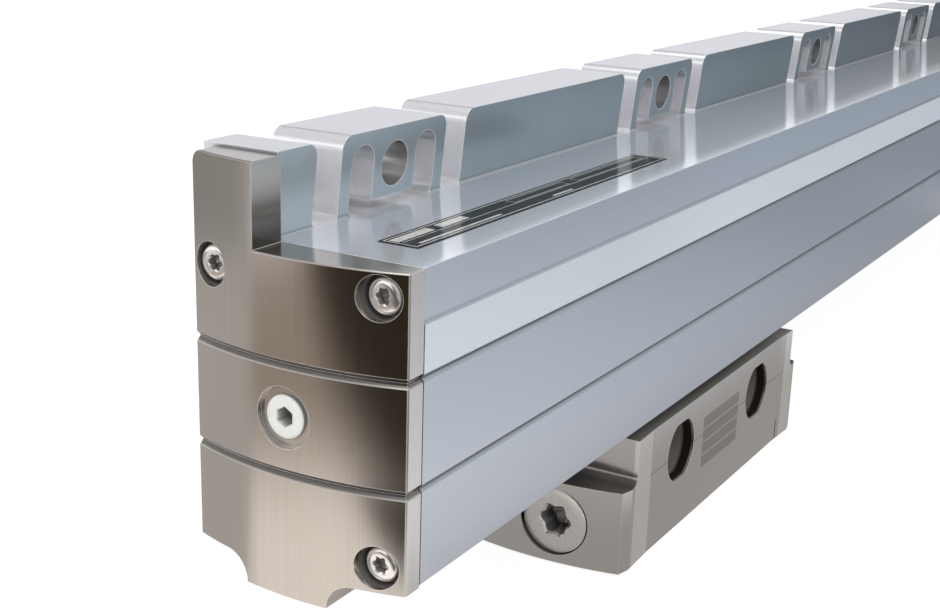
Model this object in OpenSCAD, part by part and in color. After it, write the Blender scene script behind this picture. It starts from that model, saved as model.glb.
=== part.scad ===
// Sealed linear glass scale with its scanning unit.
// X runs along the measuring length, +Y points into the machine surface that the scale is
// bolted to, +Z is up. The origin is on the axis of the first fixing hole, where that axis
// leaves the rear mounting face. Lengths are in millimetres.

/* [Length] */
// Distance between neighbouring fixing holes
hole_pitch = 100; // [80:5:150]
// Number of fixing-hole distances along the housing
pitch_count = 4; // [2:1:8]
// From an outer fixing hole to the end of the housing
hole_to_end = 29; // [28:1:60]
// Overall length less measuring length
dead_length = 131; // [125:1:170]
// Rest position of the scanning unit, as travel from the start of the measuring length
rest_travel = 55; // [0:1:100]

/* [Housing section] */
// Depth from the front face to the mounting face
housing_depth = 37; // [30:0.5:46]
// Height of the hollow body, without flange and boss
body_h = 45.4; // [37:0.5:56]
// Thickness of the front and rear walls
wall = 3.6; // [3:0.1:4.6]
// Thickness of the top wall
top_wall = 4.6; // [3.8:0.1:6]
// Width of the boss around the lip slot
boss_w = 14; // [12.5:0.5:18]
// Depth of the boss below the body, also the radius of its two coves
boss_drop = 4; // [3:0.5:5]
// Width of the slot that the blade runs in
slot_w = 7; // [6:0.1:8.4]
// Set-back of the upper front strip
strip_step = 0.4; // [0.2:0.1:0.8]
// Height of the upper front strip
strip_h = 7.3; // [5:0.1:10]
// Depths of the two front grooves below the top face
groove_z = [14.9, 30.7];
// Half width and depth of a front groove
groove_half = 0.5; // [0.3:0.1:1]

/* [Mounting flange] */
// Height of the flange above the body
flange_h = 12.4; // [11:0.1:16]
// Thickness of the flange along its top
flange_t = 13; // [10:0.5:15]
// How much the front of the flange falls back towards its root
flange_fall = 1.2; // [0:0.1:2]
// Fixing hole diameter, for an M6 screw
fix_d = 7; // [5.5:0.1:8]
// Height of the fixing holes above the body
fix_rise = 6.4; // [5.8:0.1:8]
// Metal beside a fixing hole in its tongue
tongue_wall = 2.1; // [1.6:0.1:4]
// Width of the slots beside a tongue
flex_slot = 5.7; // [4:0.1:7]
// Thickness of the spring legs outside those slots
leg_t = 2.7; // [1.5:0.1:4]
// Gap under a tongue
flex_drop = 1.5; // [1:0.1:2.5]
// Gap between a spring block and its plain neighbour
block_gap = 6; // [4:0.5:10]
// Radius of a block's upper corners
block_r = 2.2; // [1:0.1:4]
// Radius at the floor of the gaps between blocks
gap_r = 0.8; // [0.5:0.1:2]
// Radius at the floor of a spring block's slots
notch_r = 1.5; // [0.8:0.1:2]

/* [End caps] */
// Thickness of a cap at its front and rear edges
cap_edge_t = 3.6; // [3:0.1:5]
// Thickness of a cap at the crown of its arc
cap_mid_t = 6.5; // [5.5:0.1:8]
// Set-back of the cap from the mounting face
cap_back = 1; // [0.5:0.1:2]
// Set-back of the cap's leg below the flange top
leg_drop = 0.4; // [0.2:0.1:1]
// Distance of the cap screws from the outer faces
screw_in = 4.1; // [4:0.1:5]
// Diameter of the recess round a cap screw's head
recess_d = 6.4; // [6:0.1:7.5]
// Metal left under a cap screw's head
screw_seat = 1.4; // [1:0.1:2]
// Nominal diameter of the cap screws
cap_screw_d = 3; // [2.5:0.5:3.5]
// Length of the cap screws under the head
cap_screw_l = 10; // [8:1:16]
// Depth of the air port below the top face
port_z = 22.6; // [20:0.1:26]
// Nominal diameter of the air port thread
air_d = 5; // [4:1:6]
// Thickness of the gasket between a cap and the housing
gasket_t = 0.8; // [0.5:0.1:1.5]

/* [Glass scale] */
// Thickness of the glass
glass_t = 3; // [2:0.1:4]
// Thickness of the elastic bond on each side of the glass
bond_t = 0.5; // [0.3:0.1:1]
// Depth of the groove in the roof that holds the glass
bond_depth = 2.2; // [1.5:0.1:3]
// Glass beyond the measuring length at each end
glass_over = 36; // [34:1:44]

/* [Scanning carriage] */
// Length of the carriage
carriage_l = 64; // [60:1:76]
// Outside diameter of a guide roller
roller_d = 6; // [5:0.5:7]
// Width of a guide roller
roller_w = 2.5; // [2:0.1:3]
// Diameter of a roller axle
axle_d = 2; // [1.5:0.1:2.5]
// Gap between a roller and the glass it runs on
roll_gap = 0.15; // [0.1:0.05:0.3]
// Gap between the carriage and the walls of the housing
carriage_gap = 2; // [1.5:0.1:3]
// Gap between a roller's side and its lug
side_gap = 0.3; // [0.2:0.1:0.6]

/* [Scanning unit] */
// Length of the upper part of the mounting block
head_l = 82.4; // [79:0.1:100]
// Length by which the lower part is longer at each end
head_step = 7; // [6:0.1:9]
// Radius of the lower part's arched end faces
head_end_r = 70; // [62:1:120]
// Set-back of the block's front face behind the front of the housing
head_back = 0.45; // [0.2:0.05:1]
// Depth of the mounting block, front to back
head_depth = 30; // [28:0.5:36]
// Height of the lower part
head_low_h = 15.9; // [15:0.1:20]
// Height of the upper part's front rail
head_rail_h = 8.7; // [8.5:0.1:12]
// Gap between the housing and the front rail
head_gap = 2.6; // [1:0.1:4]
// Gap between the boss and the block under it
boss_gap = 1.15; // [0.8:0.05:2]
// Distance between the two mounting slots
mount_pitch = 41; // [38:1:50]
// Diameter of the round ends of a mounting recess
mount_d = 12.6; // [11:0.1:13]
// Height of a mounting recess between its flats
mount_h = 11.6; // [9:0.1:12]
// Depth of a mounting recess
mount_deep = 6; // [4:0.1:7.4]
// Centre of the mounting slots below the top of the rail
mount_drop = 8.6; // [8:0.1:9]
// Width of the screw slot behind a recess, for an M6 screw
mount_slot = 6.6; // [5:0.1:6.8]
// Length of that screw slot
mount_slot_l = 9.2; // [7:0.1:10]
// Diameter of the recess at each cable port
port_d = 13.4; // [12:0.1:13.8]
// Nominal thread diameter of a cable port
port_thread = 10; // [8:0.5:11]
// Diameter of the cable duct inside the block
duct_d = 6; // [4:0.5:6]
// Distance of the port axis from the front face
port_in = 13.5; // [12:0.1:18]
// Height of the port axis above the underside
port_up = 8.1; // [8:0.1:9]
// Thickness of the blade that passes the lips
blade_t = 2; // [1.5:0.1:2.4]
// Length of the blade
blade_l = 60; // [50:1:64]
// Gap between the blade and each lip
lip_gap = 0.3; // [0.2:0.1:0.6]

/* [Hidden] */
$fn = 96;
eps = 0.01;
fit = 0.03;

// Colours
anodised = [0.74, 0.76, 0.80];
nickel = [0.62, 0.60, 0.57];
steel = [0.70, 0.70, 0.71];
seal_black = [0.09, 0.09, 0.10];
board_green = [0.10, 0.34, 0.20];
glass_tint = [0.70, 0.84, 0.84];

// Planes of the housing section
y_front = -housing_depth;
y_mid = y_front / 2;
z_top = -fix_rise;
z_flange = z_top + flange_h;
z_bot = z_top - body_h;
z_boss = z_bot - boss_drop;
x_near = -hole_to_end;
x_far = pitch_count * hole_pitch + hole_to_end;
housing_l = x_far - x_near;
overall_l = housing_l + 2 * cap_mid_t;
measuring_l = overall_l - dead_length;
x_rest = x_near - cap_mid_t + dead_length / 2 + rest_travel;

// Cavity of the housing
cav_front = y_front + wall;
cav_rear = -wall;
cav_roof = z_top - top_wall;
cav_floor = z_bot + wall;
lip_bead = 1.1;
screw_core = cap_screw_d / 2 + fit;
screw_pad = screw_core + 1.4;
screw_spots = [
  [y_front + screw_in, z_top - screw_in + 0.5],
  [y_front + screw_in, z_bot + screw_in - 0.4],
  [-cap_back - screw_in + 0.4, z_top - screw_in + 0.5]
];

// Flange blocks
tongue_half = fix_d / 2 + tongue_wall;
flex_half = tongue_half + flex_slot + leg_t;
plain_start = flex_half + block_gap;
flex_top = z_flange - 2;

// Glass and carriage levels, stacked up from the cavity floor
z_rod = cav_floor + 2.8;
z_bridge = cav_floor + 5.6;
bridge_t = 4.2;
z_edge_roll = z_bridge + bridge_t + roller_d / 2 + 0.5;
z_glass = z_edge_roll + roller_d / 2 + roll_gap;
z_glass_top = cav_roof + bond_depth - bond_t;
glass_l = measuring_l + 2 * glass_over;
x_glass = (x_near + x_far) / 2 - glass_l / 2;
z_scan = (z_glass + cav_roof) / 2 + 0.5;
glass_front = y_mid - glass_t / 2;
glass_rear = y_mid + glass_t / 2;
roll_off = roller_d / 2 + roll_gap;
arm_in = roller_d + roll_gap + 0.6;
arm_front_out = cav_front + carriage_gap;
arm_rear_out = cav_rear - carriage_gap;
arm_front_in = glass_front - arm_in;
arm_rear_in = glass_rear + arm_in;
y_lens = arm_rear_in - 4.15;
arm_top = cav_roof - carriage_gap - 0.5;
lug_t = 2;
lug_w = 5;
lug_reach = roller_w / 2 + side_gap + lug_t;
edge_roll_x = 20;
side_roll_x = [-26, 26, 14];
side_roll_y = glass_front - roll_off;
side_roll_z = [arm_top - lug_reach, arm_top - lug_reach, z_glass + 0.5 + roller_w / 2];
window_w = 14;
scan_screw_x = window_w / 2 + 2.5;

// Spring rod, its clamp on the blade and its lug on the carriage
rod_r = 0.75;
rod_clamp_x = [-20, -12];
rod_lug_x = [22, 30];
z_blade = z_rod - 2.2;

// Scanning unit levels
z_rail = z_bot - head_gap;
z_step = z_rail - head_rail_h;
z_under = z_step - head_low_h;
z_deck = z_boss - boss_gap;
y_head = y_front + head_depth;
rail_w = min(7.6, housing_depth / 2 - boss_w / 2 - boss_drop);
z_mount = z_rail - mount_drop;
z_port = z_under + port_up;
y_port = y_front + port_in;
cell_half = mount_pitch / 2 - mount_d / 2 - 1.6;
cell_front = y_mid - 7;
cell_rear = y_mid + blade_t / 2;
cell_floor = z_under + 2.5;
lid_t = 1.4;
lid_edge = 2.2;
seal_t = 0.4;
lid_screw_r = 0.8;
tongue_l = 2 * cell_half - 6;
tongue_drop = 8;
blade_screw_x = 6;
board_t = 1;
board_gap = 1;
lead_w = 6;
lead_t = 0.3;
x_port = head_l / 2 + head_step;
plug_in = 0.75;
plug_rim = 1.65;
port_deep = plug_in + plug_rim + 0.8;
lid_spots = [for (x = [-1, 1], y = [cell_front - 0.4, cell_rear + 0.4]) [x * (cell_half + 0.4), y]];
pin_spots = concat([[0, 0]], [for (i = [0:6]) [2.6 * cos(360 / 7 * i), 2.6 * sin(360 / 7 * i)]]);
board_spots = [for (x = [-1, 1]) [x * (cell_half - 2.4), (cell_front + cell_rear) / 2]];

// End cap
cap_chord = housing_depth - cap_back;
cap_rise = cap_mid_t - cap_edge_t;
cap_r = (cap_chord / 2) ^ 2 / (2 * cap_rise) + cap_rise / 2;
cap_y = (y_front - cap_back) / 2;
cap_leg = flange_t + 0.4;
z_leg = z_flange - leg_drop;
edge_break = 0.15;

// ---------------------------------------------------------------- helpers

// Stands a profile drawn in (y, z) up and extrudes it along +X from x0.
module along_x(x0, l) {
  translate([x0, 0, 0]) rotate([90, 0, 90]) linear_extrude(l) children();
}

// Extrudes a profile drawn in (x, z) from y0 towards +Y.
module along_y(y0, l) {
  translate([0, y0 + l, 0]) rotate([90, 0, 0]) linear_extrude(l) children();
}

// Cylinder lying along +X.
module rod_x(x0, l, r) {
  translate([x0, 0, 0]) rotate([0, 90, 0]) cylinder(h = l, r = r);
}

// Cylinder lying along +Y.
module rod_y(y0, l, r) {
  translate([0, y0, 0]) rotate([-90, 0, 0]) cylinder(h = l, r = r);
}

// Box from its lowest and highest corners.
module box(a, b) {
  translate(a) cube(b - a);
}

// Six-lobed driver socket outline, d over the lobes.
module lobes(d) {
  circle(d = 0.74 * d);
  for (i = [0:5]) rotate(60 * i) translate([0.37 * d, 0]) circle(d = 0.26 * d);
}

// Rectangle from a to b with all four corners rounded by r.
module round_rect(a, b, r) {
  translate([a[0] + r, a[1]]) square([b[0] - a[0] - 2 * r, b[1] - a[1]]);
  translate([a[0], a[1] + r]) square([b[0] - a[0], b[1] - a[1] - 2 * r]);
  for (x = [a[0] + r, b[0] - r], y = [a[1] + r, b[1] - r]) translate([x, y]) circle(r);
}

// Screw with its axis along +X, head face at x = 0, drawn about the origin.
module screw_x(d, head_d, head_h, l, drive) {
  difference() {
    union() {
      rod_x(0.4, head_h - 0.4, head_d / 2);
      translate([0.4, 0, 0]) rotate([0, -90, 0]) cylinder(h = 0.4, r1 = head_d / 2, r2 = head_d / 2 - 0.7);
      rod_x(head_h - eps, l + eps, d / 2);
    }
    translate([-eps, 0, 0]) rotate([90, 0, 90]) linear_extrude(head_h * 0.6) lobes(drive);
  }
}

// Mirrors its child from the near end of the housing to the far end.
module at_far_end() {
  translate([x_near + x_far, 0, 0]) mirror([1, 0, 0]) children();
}

// ---------------------------------------------------------------- housing

// Outer section of the body and boss in (y, z), without the flange.
module body_section() {
  chamfer = 0.4;
  difference() {
    union() {
      polygon([
        [y_front + strip_step, z_top], [y_front + strip_step, z_top - strip_h],
        [y_front, z_top - strip_h - 0.3], [y_front, z_bot + chamfer],
        [y_front + chamfer, z_bot], [0, z_bot], [0, z_top]
      ]);
      translate([y_mid - boss_w / 2 - boss_drop, z_boss]) square([boss_w + 2 * boss_drop, boss_drop + eps]);
    }
    for (side = [-1, 1]) translate([y_mid + side * (boss_w / 2 + boss_drop), z_boss]) circle(boss_drop);
    for (g = groove_z) translate([y_front, z_top - g])
      polygon([[-1, groove_half + 1], [groove_half, 0], [-1, -groove_half - 1]]);
  }
}

// Section of the mounting flange, with a cove at its root.
module flange_section() {
  root = flange_t - flange_fall;
  cove = 0.4;
  polygon([
    [-flange_t, z_flange], [-root, z_top + cove], [-root, z_top - 1], [0, z_top - 1], [0, z_flange]
  ]);
  difference() {
    translate([-root - cove, z_top - eps]) square([cove + eps, cove]);
    translate([-root - cove, z_top + cove]) circle(cove);
  }
}

// Openings in the section: cavity, glass groove, lip slot and screw cores.
module section_hollow() {
  difference() {
    translate([cav_front, cav_floor]) square([cav_rear - cav_front, cav_roof - cav_floor]);
    for (s = screw_spots) translate(s) circle(screw_pad);
  }
  translate([y_mid - glass_t / 2 - bond_t, cav_roof - eps]) square([glass_t + 2 * bond_t, bond_depth + eps]);
  translate([y_mid - slot_w / 2, z_boss - 1]) square([slot_w, cav_floor - z_boss + 1 + eps]);
  for (side = [-1, 1]) translate([y_mid + side * slot_w / 2, z_bot - 0.4]) circle(lip_bead + fit);
}

// Tongue-and-slot cut of one spring block, centred on x = 0.
module spring_cut() {
  slot_mid = tongue_half + flex_slot / 2;
  difference() {
    union() {
      for (side = [-1, 1]) {
        translate([side * slot_mid - flex_slot / 2, z_top + notch_r])
          square([flex_slot, flex_top - flex_slot / 2 - z_top - notch_r]);
        translate([side * slot_mid, flex_top - flex_slot / 2]) circle(flex_slot / 2);
        translate([side * (tongue_half + flex_slot - notch_r), z_top + notch_r]) circle(notch_r);
      }
      translate([-tongue_half - flex_slot + notch_r, z_top])
        square([2 * (tongue_half + flex_slot - notch_r), flex_drop + eps]);
    }
    translate([-tongue_half, z_top + flex_drop]) square([2 * tongue_half, flange_h]);
  }
  circle(d = fix_d);
}

// Gap between two blocks, from x = 0 to x = w, with coved floor corners
// and rounded shoulders on the blocks.
module gap_cut(w) {
  translate([0, z_top + gap_r]) square([w, flange_h]);
  translate([gap_r, z_top]) square([w - 2 * gap_r, gap_r + eps]);
  for (x = [gap_r, w - gap_r]) translate([x, z_top + gap_r]) circle(gap_r);
  for (side = [0, 1]) translate([side * w, z_flange]) mirror([side, 0]) difference() {
    translate([-block_r, -block_r]) square([block_r + eps, block_r + 1]);
    translate([-block_r, -block_r]) circle(block_r);
  }
}

module scale_housing() color(anodised) difference() {
  union() {
    along_x(x_near, housing_l) difference() {
      body_section();
      section_hollow();
    }
    along_x(x_near, housing_l) flange_section();
  }
  for (s = screw_spots) translate([0, s[0], s[1]]) {
    rod_x(x_near - 1, cap_screw_l + 3, screw_core);
    rod_x(x_far - cap_screw_l - 2, cap_screw_l + 3, screw_core);
  }
  along_y(-flange_t - 2, flange_t + 3) for (i = [0:pitch_count]) translate([i * hole_pitch, 0]) {
    spring_cut();
    translate([flex_half, 0]) gap_cut(block_gap);
    translate([-plain_start, 0]) gap_cut(block_gap);
  }
}

// ---------------------------------------------------------------- glass and lips

module glass_scale() color(glass_tint)
  box([x_glass, glass_front, z_glass], [x_glass + glass_l, glass_rear, z_glass_top]);

// Elastic bond that fills the roof groove round the top edge of the glass.
module scale_bond() color([0.85, 0.85, 0.82]) difference() {
  box([x_glass, glass_front - bond_t, cav_roof], [x_glass + glass_l, glass_rear + bond_t, cav_roof + bond_depth]);
  box([x_glass - 1, glass_front, cav_roof - 1], [x_glass + glass_l + 1, glass_rear, z_glass_top]);
}

// One sealing lip: a bead held in the slot wall and a blade that hangs inwards.
module lip(side) {
  tip = blade_t / 2 + lip_gap;
  root = slot_w / 2 - 0.05;
  color(seal_black) along_x(x_near + 0.2, housing_l - 0.4) translate([y_mid, z_bot - 0.4]) mirror([side < 0 ? 0 : 1, 0]) {
    translate([-slot_w / 2, 0]) circle(lip_bead);
    polygon([
      [-root, lip_bead * 0.8], [-root, -lip_bead * 0.8],
      [-tip - 0.5, -boss_drop + 0.9], [-tip, -boss_drop + 0.7], [-tip, -boss_drop + 1.3]
    ]);
  }
}

module lip_front() lip(-1);
module lip_rear() lip(1);

// ---------------------------------------------------------------- end caps

// Outline of a cap's body and boss in (y, z).
module cap_section() difference() {
  union() {
    translate([y_front, z_bot]) square([cap_chord, body_h]);
    translate([y_mid - boss_w / 2 - boss_drop, z_boss]) square([boss_w + 2 * boss_drop, boss_drop + eps]);
  }
  for (side = [-1, 1]) translate([y_mid + side * (boss_w / 2 + boss_drop), z_boss]) circle(boss_drop);
}

// Outline of a cap's leg in (y, z), its outer rear corner rounded.
module leg_section() {
  corner = 2;
  translate([-cap_leg, z_top - 1]) square([cap_leg - cap_back, z_leg - corner - z_top + 1]);
  translate([-cap_leg, z_top - 1]) square([cap_leg - cap_back - corner, z_leg - z_top + 1]);
  translate([-cap_back - corner, z_leg - corner]) circle(corner);
}

// Upright drum that bows a cap's outer face, its top edge broken.
module cap_bow(top) translate([x_near - cap_mid_t + cap_r, cap_y, 0]) rotate_extrude($fn = 360)
  polygon([[0, z_boss - 1], [cap_r, z_boss - 1], [cap_r, top - edge_break], [cap_r - edge_break, top], [0, top]]);

// Near end cap: bowed outer face, two grooves carried round from the housing.
module cap() {
  nose = 0.7;
  difference() {
    union() {
      intersection() {
        along_x(x_near - cap_mid_t - 1, cap_mid_t + 1) cap_section();
        cap_bow(z_top);
      }
      intersection() {
        along_x(x_near - cap_mid_t - 1, cap_mid_t + 1) leg_section();
        cap_bow(z_leg);
      }
    }
    translate([x_near - cap_edge_t, y_front, z_bot - 1]) rotate([0, 0, 45])
      translate([-edge_break, -edge_break, 0]) cube([2 * edge_break, 2 * edge_break, body_h + 2]);
    translate([x_near, y_front, z_bot - 1]) rotate([0, 0, 45])
      translate([-edge_break, -edge_break, 0]) cube([2 * edge_break, 2 * edge_break, body_h + 2]);
    translate([x_near, y_front - 1, z_top]) rotate([0, 45, 0])
      translate([-edge_break, 0, -edge_break]) cube([2 * edge_break, cap_chord - cap_leg + 1, 2 * edge_break]);
    for (g = groove_z) translate([0, 0, z_top - g]) {
      translate([x_near - cap_mid_t + cap_r, cap_y, 0]) rotate_extrude($fn = 360)
        polygon([[cap_r - nose, 0], [cap_r + 1, 1.7], [cap_r + 1, -1.7]]);
      along_x(x_near - cap_mid_t, cap_mid_t + 1) translate([y_front, 0])
        polygon([[nose, 0], [-1, 1.7], [-1, -1.7]]);
    }
    for (s = screw_spots) translate([0, s[0], s[1]]) {
      rod_x(x_near - cap_mid_t - 1, cap_mid_t + 1 - screw_seat, recess_d / 2);
      rod_x(x_near - cap_mid_t, cap_mid_t + 1, cap_screw_d / 2 + 0.1);
    }
    translate([0, y_mid, z_top - port_z]) {
      rod_x(x_near - cap_mid_t - 1, 2, 4.5);
      rod_x(x_near - cap_mid_t, cap_mid_t + 1, air_d / 2 + fit);
    }
    along_x(x_near - gasket_t, gasket_t + 1) gasket_section(0);
  }
}

// Ring round the cavity mouth, grown by g.
module gasket_section(g) {
  out = 1.2;
  difference() {
    round_rect([cav_front - out - g, cav_floor - out - g], [cav_rear + out + g, cav_roof + out + g], 1.5);
    round_rect([cav_front + out + g, cav_floor + out + g], [cav_rear - out - g, cav_roof - out - g], 1.5);
    for (s = screw_spots) translate(s) circle(screw_core + 1 - g);
  }
}

module gasket() color(seal_black) along_x(x_near - gasket_t, gasket_t) gasket_section(-fit);

module cap_screws() color(steel) {
  head_h = 2.4;
  for (s = screw_spots) translate([x_near - screw_seat - head_h, s[0], s[1]])
    screw_x(cap_screw_d, cap_screw_d + 2.6, head_h, cap_screw_l, 2.4);
}

// Plastic plug with a hexagon socket, screwed into the air port.
module air_plug() color([0.93, 0.93, 0.92]) translate([0, y_mid, z_top - port_z]) difference() {
  union() {
    rod_x(x_near - cap_mid_t + 0.4, 0.6, 3.2);
    rod_x(x_near - cap_mid_t + 1 - eps, cap_mid_t - 1, air_d / 2);
  }
  translate([x_near - cap_mid_t + 0.4 - eps, 0, 0]) rotate([90, 0, 90]) linear_extrude(2.6) circle(d = 2.9, $fn = 6);
}

module end_cap_near() color(nickel) cap();
module end_cap_far() color(nickel) at_far_end() cap();
module cap_gasket_near() gasket();
module cap_gasket_far() at_far_end() gasket();
module cap_screws_near() cap_screws();
module cap_screws_far() at_far_end() cap_screws();
module air_plug_near() air_plug();
module air_plug_far() at_far_end() air_plug();

// Thin adhesive plate on the top face.
module type_plate() color([0.06, 0.06, 0.06])
  box([x_near + 8, y_front + 6.5, z_top], [x_near + 91, y_front + 13.1, z_top + 0.12]);

// ---------------------------------------------------------------- scanning unit

// Plan of the lower part of the mounting block: arched ends, flat front and rear.
module low_plan() intersection() {
  translate([-x_port, y_front]) square([2 * x_port, head_depth]);
  translate([head_end_r - x_port, y_mid]) circle(head_end_r, $fn = 360);
  translate([x_port - head_end_r, y_mid]) circle(head_end_r, $fn = 360);
}

// Relief of the block's front face: set back in the middle, rising to both ends, corners broken.
module front_relief() {
  near = 0.1;
  flat = head_l / 2 - 6.8;
  rise = head_l / 2 + 2;
  slope = 0.25;
  for (side = [0, 1]) mirror([side, 0]) polygon([
    [0, y_front - 1], [0, y_front + head_back], [flat, y_front + head_back], [rise, y_front + near],
    [x_port + 1, y_front + near + slope * (x_port + 1 - rise)], [x_port + 1, y_front - 1]
  ]);
}

// Recess for one mounting screw's head, with the slot for its shank behind it.
module mount_cut() {
  intersection() {
    rod_y(y_front - 1, mount_deep + 1, mount_d / 2);
    box([-mount_d, y_front - 2, -mount_h / 2], [mount_d, y_front + mount_deep + 1, mount_h / 2]);
  }
  along_y(y_front, head_depth + 1) {
    for (s = [-1, 1]) translate([s * (mount_slot_l - mount_slot) / 2, 0]) circle(mount_slot / 2);
    square([mount_slot_l - mount_slot, mount_slot], center = true);
  }
}

// Hollow for the electronics, stepped for the lid, with pads under the board.
module cell_cut() {
  difference() {
    box([-cell_half, cell_front, cell_floor], [cell_half, cell_rear, z_deck + 1]);
    for (p = board_spots) translate([p[0], p[1], cell_floor - 1]) cylinder(h = board_gap + 1, r = 1.7);
  }
  box([-cell_half - lid_edge, cell_front - lid_edge, z_deck - lid_t - seal_t],
      [cell_half + lid_edge, cell_rear + lid_edge, z_deck + 1]);
  for (p = lid_spots) translate([p[0], p[1], z_deck - lid_t - 6]) cylinder(h = 8, r = lid_screw_r + 0.02);
  for (p = board_spots) translate([p[0], p[1], cell_floor - 1.6]) cylinder(h = 5, r = 0.77);
}

module mounting_block() color(nickel) translate([x_rest, 0, 0]) {
  cove = 1.6;
  difference() {
    union() {
      translate([0, 0, z_under]) linear_extrude(z_step - z_under) low_plan();
      box([-head_l / 2, y_front, z_step - 1], [head_l / 2, y_head, z_deck]);
      box([-head_l / 2, y_front, z_step - 1], [head_l / 2, y_front + rail_w, z_rail]);
      along_y(y_front, head_depth) for (side = [0, 1]) mirror([side, 0]) difference() {
        translate([head_l / 2 - eps, z_step - eps]) square([cove, cove]);
        translate([head_l / 2 + cove, z_step + cove]) circle(cove);
      }
    }
    translate([0, 0, z_under - 1]) linear_extrude(z_rail - z_under + 2) front_relief();
    for (side = [-1, 1]) translate([side * mount_pitch / 2, 0, z_mount]) mount_cut();
    for (side = [0, 1]) mirror([side, 0, 0]) translate([0, y_port, z_port]) {
      rod_x(x_port - port_deep, port_deep + 1, port_d / 2);
      rod_x(x_port - 14, 12, port_thread / 2 + fit);
      rod_x(cell_half - 1, x_port - cell_half, duct_d / 2);
    }
    cell_cut();
    for (s = [-1, 1]) translate([s * blade_screw_x, 0, z_deck - tongue_drop + 2.6]) {
      rod_y(y_head - 5, 6, 2.4);
      rod_y(cell_rear - 1, head_depth, 1.3);
    }
  }
}

// Lid of the electronics cell, slotted for the blade's tongue.
module block_lid() color(nickel) translate([x_rest, 0, 0]) difference() {
  play = 0.1;
  box([-cell_half - lid_edge + play, cell_front - lid_edge + play, z_deck - lid_t],
      [cell_half + lid_edge - play, cell_rear + lid_edge - play, z_deck]);
  box([-tongue_l / 2 - play, y_mid - blade_t / 2 - play, z_deck - lid_t - 1],
      [tongue_l / 2 + play, y_mid + blade_t / 2 + play, z_deck + 1]);
  for (p = lid_spots) translate([p[0], p[1], z_deck]) {
    translate([0, 0, -lid_t - 1]) cylinder(h = lid_t + 2, r = lid_screw_r + 0.1);
    translate([0, 0, -0.8]) cylinder(h = 2, r = lid_screw_r + 0.65);
  }
}

// Flat seal under the lid.
module lid_gasket() color(seal_black) translate([x_rest, 0, z_deck - lid_t - seal_t]) difference() {
  box([-cell_half - lid_edge + 0.1, cell_front - lid_edge + 0.1, 0],
      [cell_half + lid_edge - 0.1, cell_rear + lid_edge - 0.1, seal_t]);
  box([-cell_half, cell_front, -1], [cell_half, cell_rear, 1]);
  for (p = lid_spots) translate([p[0], p[1], -1]) cylinder(h = 2, r = lid_screw_r + 0.1);
}

module lid_screws() color(steel) translate([x_rest, 0, 0]) for (p = lid_spots)
  translate([p[0], p[1], z_deck - 0.1]) rotate([0, 90, 0]) screw_x(2 * lid_screw_r, 2.7, 0.7, 5, 1.4);

// Sword-shaped blade: pointed at both ends where it parts the lips, with a tongue below
// and a channel for the lead in its front face.
module blade() color(steel) translate([x_rest, y_mid, 0]) difference() {
  taper = 9;
  half = blade_l / 2;
  union() {
    translate([0, 0, z_deck + 0.3]) linear_extrude(z_blade - z_deck - 0.3) polygon([
      [-half, 0], [-half + taper, blade_t / 2], [half - taper, blade_t / 2],
      [half, 0], [half - taper, -blade_t / 2], [-half + taper, -blade_t / 2]
    ]);
    box([-tongue_l / 2, -blade_t / 2, z_deck - tongue_drop], [tongue_l / 2, blade_t / 2, z_deck + 0.4]);
  }
  for (s = [-1, 1]) translate([s * blade_screw_x, 0, z_deck - tongue_drop + 2.6]) rod_y(-5, 10, 1.02);
  box([-lead_w / 2 - 0.1, -blade_t, z_deck - 20], [lead_w / 2 + 0.1, -blade_t / 2 + lead_t + 0.1, z_blade + 1]);
  translate([(rod_clamp_x[0] + rod_clamp_x[1]) / 2, 0, z_blade - 0.8]) rod_y(-5, 10, 0.55);
}

// Screws from the rear of the block into the blade's tongue.
module blade_screws() color(steel) for (s = [-1, 1])
  translate([x_rest + s * blade_screw_x, y_head - 5 + 1.6, z_deck - tongue_drop + 2.6])
    rotate([0, 0, -90]) screw_x(2, 3.8, 1.6, y_head - 5 - cell_rear + blade_t - 0.2, 1.7);

// Rim of a plug or socket, its outer edge broken, from plug_in to the seal.
module port_rim(x0) {
  r = port_d / 2 - 0.2;
  translate([x0, 0, 0]) rotate([0, 90, 0]) cylinder(h = 0.3, r1 = r - 0.3, r2 = r);
  rod_x(x0 + 0.3 - eps, port_deep - 0.8 - x0 - 0.3 + eps, r);
}

// Blind plug with a six-lobed socket in the unused port.
module port_plug() color(nickel) translate([x_rest - x_port, y_port, z_port]) difference() {
  union() {
    port_rim(plug_in);
    rod_x(port_deep - 0.8 - eps, 8.6, port_thread / 2);
  }
  translate([-1, 0, 0]) rotate([90, 0, 90]) linear_extrude(5.6) lobes(6.9);
}

// Seal under the rim of a plug or socket.
module port_seal() color(seal_black) difference() {
  rod_x(port_deep - 0.8, 0.8, port_d / 2 - 0.25);
  rod_x(port_deep - 2, 3, port_thread / 2 + 0.1);
}

module port_seal_near() translate([x_rest - x_port, y_port, z_port]) port_seal();
module port_seal_far() translate([x_rest + x_port, y_port, z_port]) mirror([1, 0, 0]) port_seal();

// Socket for the cable plug in the far port.
module cable_socket() color([0.12, 0.12, 0.13])
  translate([x_rest + x_port, y_port, z_port]) mirror([1, 0, 0]) difference() {
    union() {
      port_rim(1.4);
      rod_x(port_deep - 0.8 - eps, 9.6, port_thread / 2);
    }
    rod_x(0, 9, port_thread / 2 - 1);
    for (p = pin_spots) translate([0, p[0], p[1]]) rod_x(8, 6, 0.4 + fit);
  }

module socket_pins() color([0.85, 0.68, 0.30])
  translate([x_rest + x_port, y_port, z_port]) mirror([1, 0, 0])
    for (p = pin_spots) translate([0, p[0], p[1]]) rod_x(6, 8, 0.4);

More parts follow.
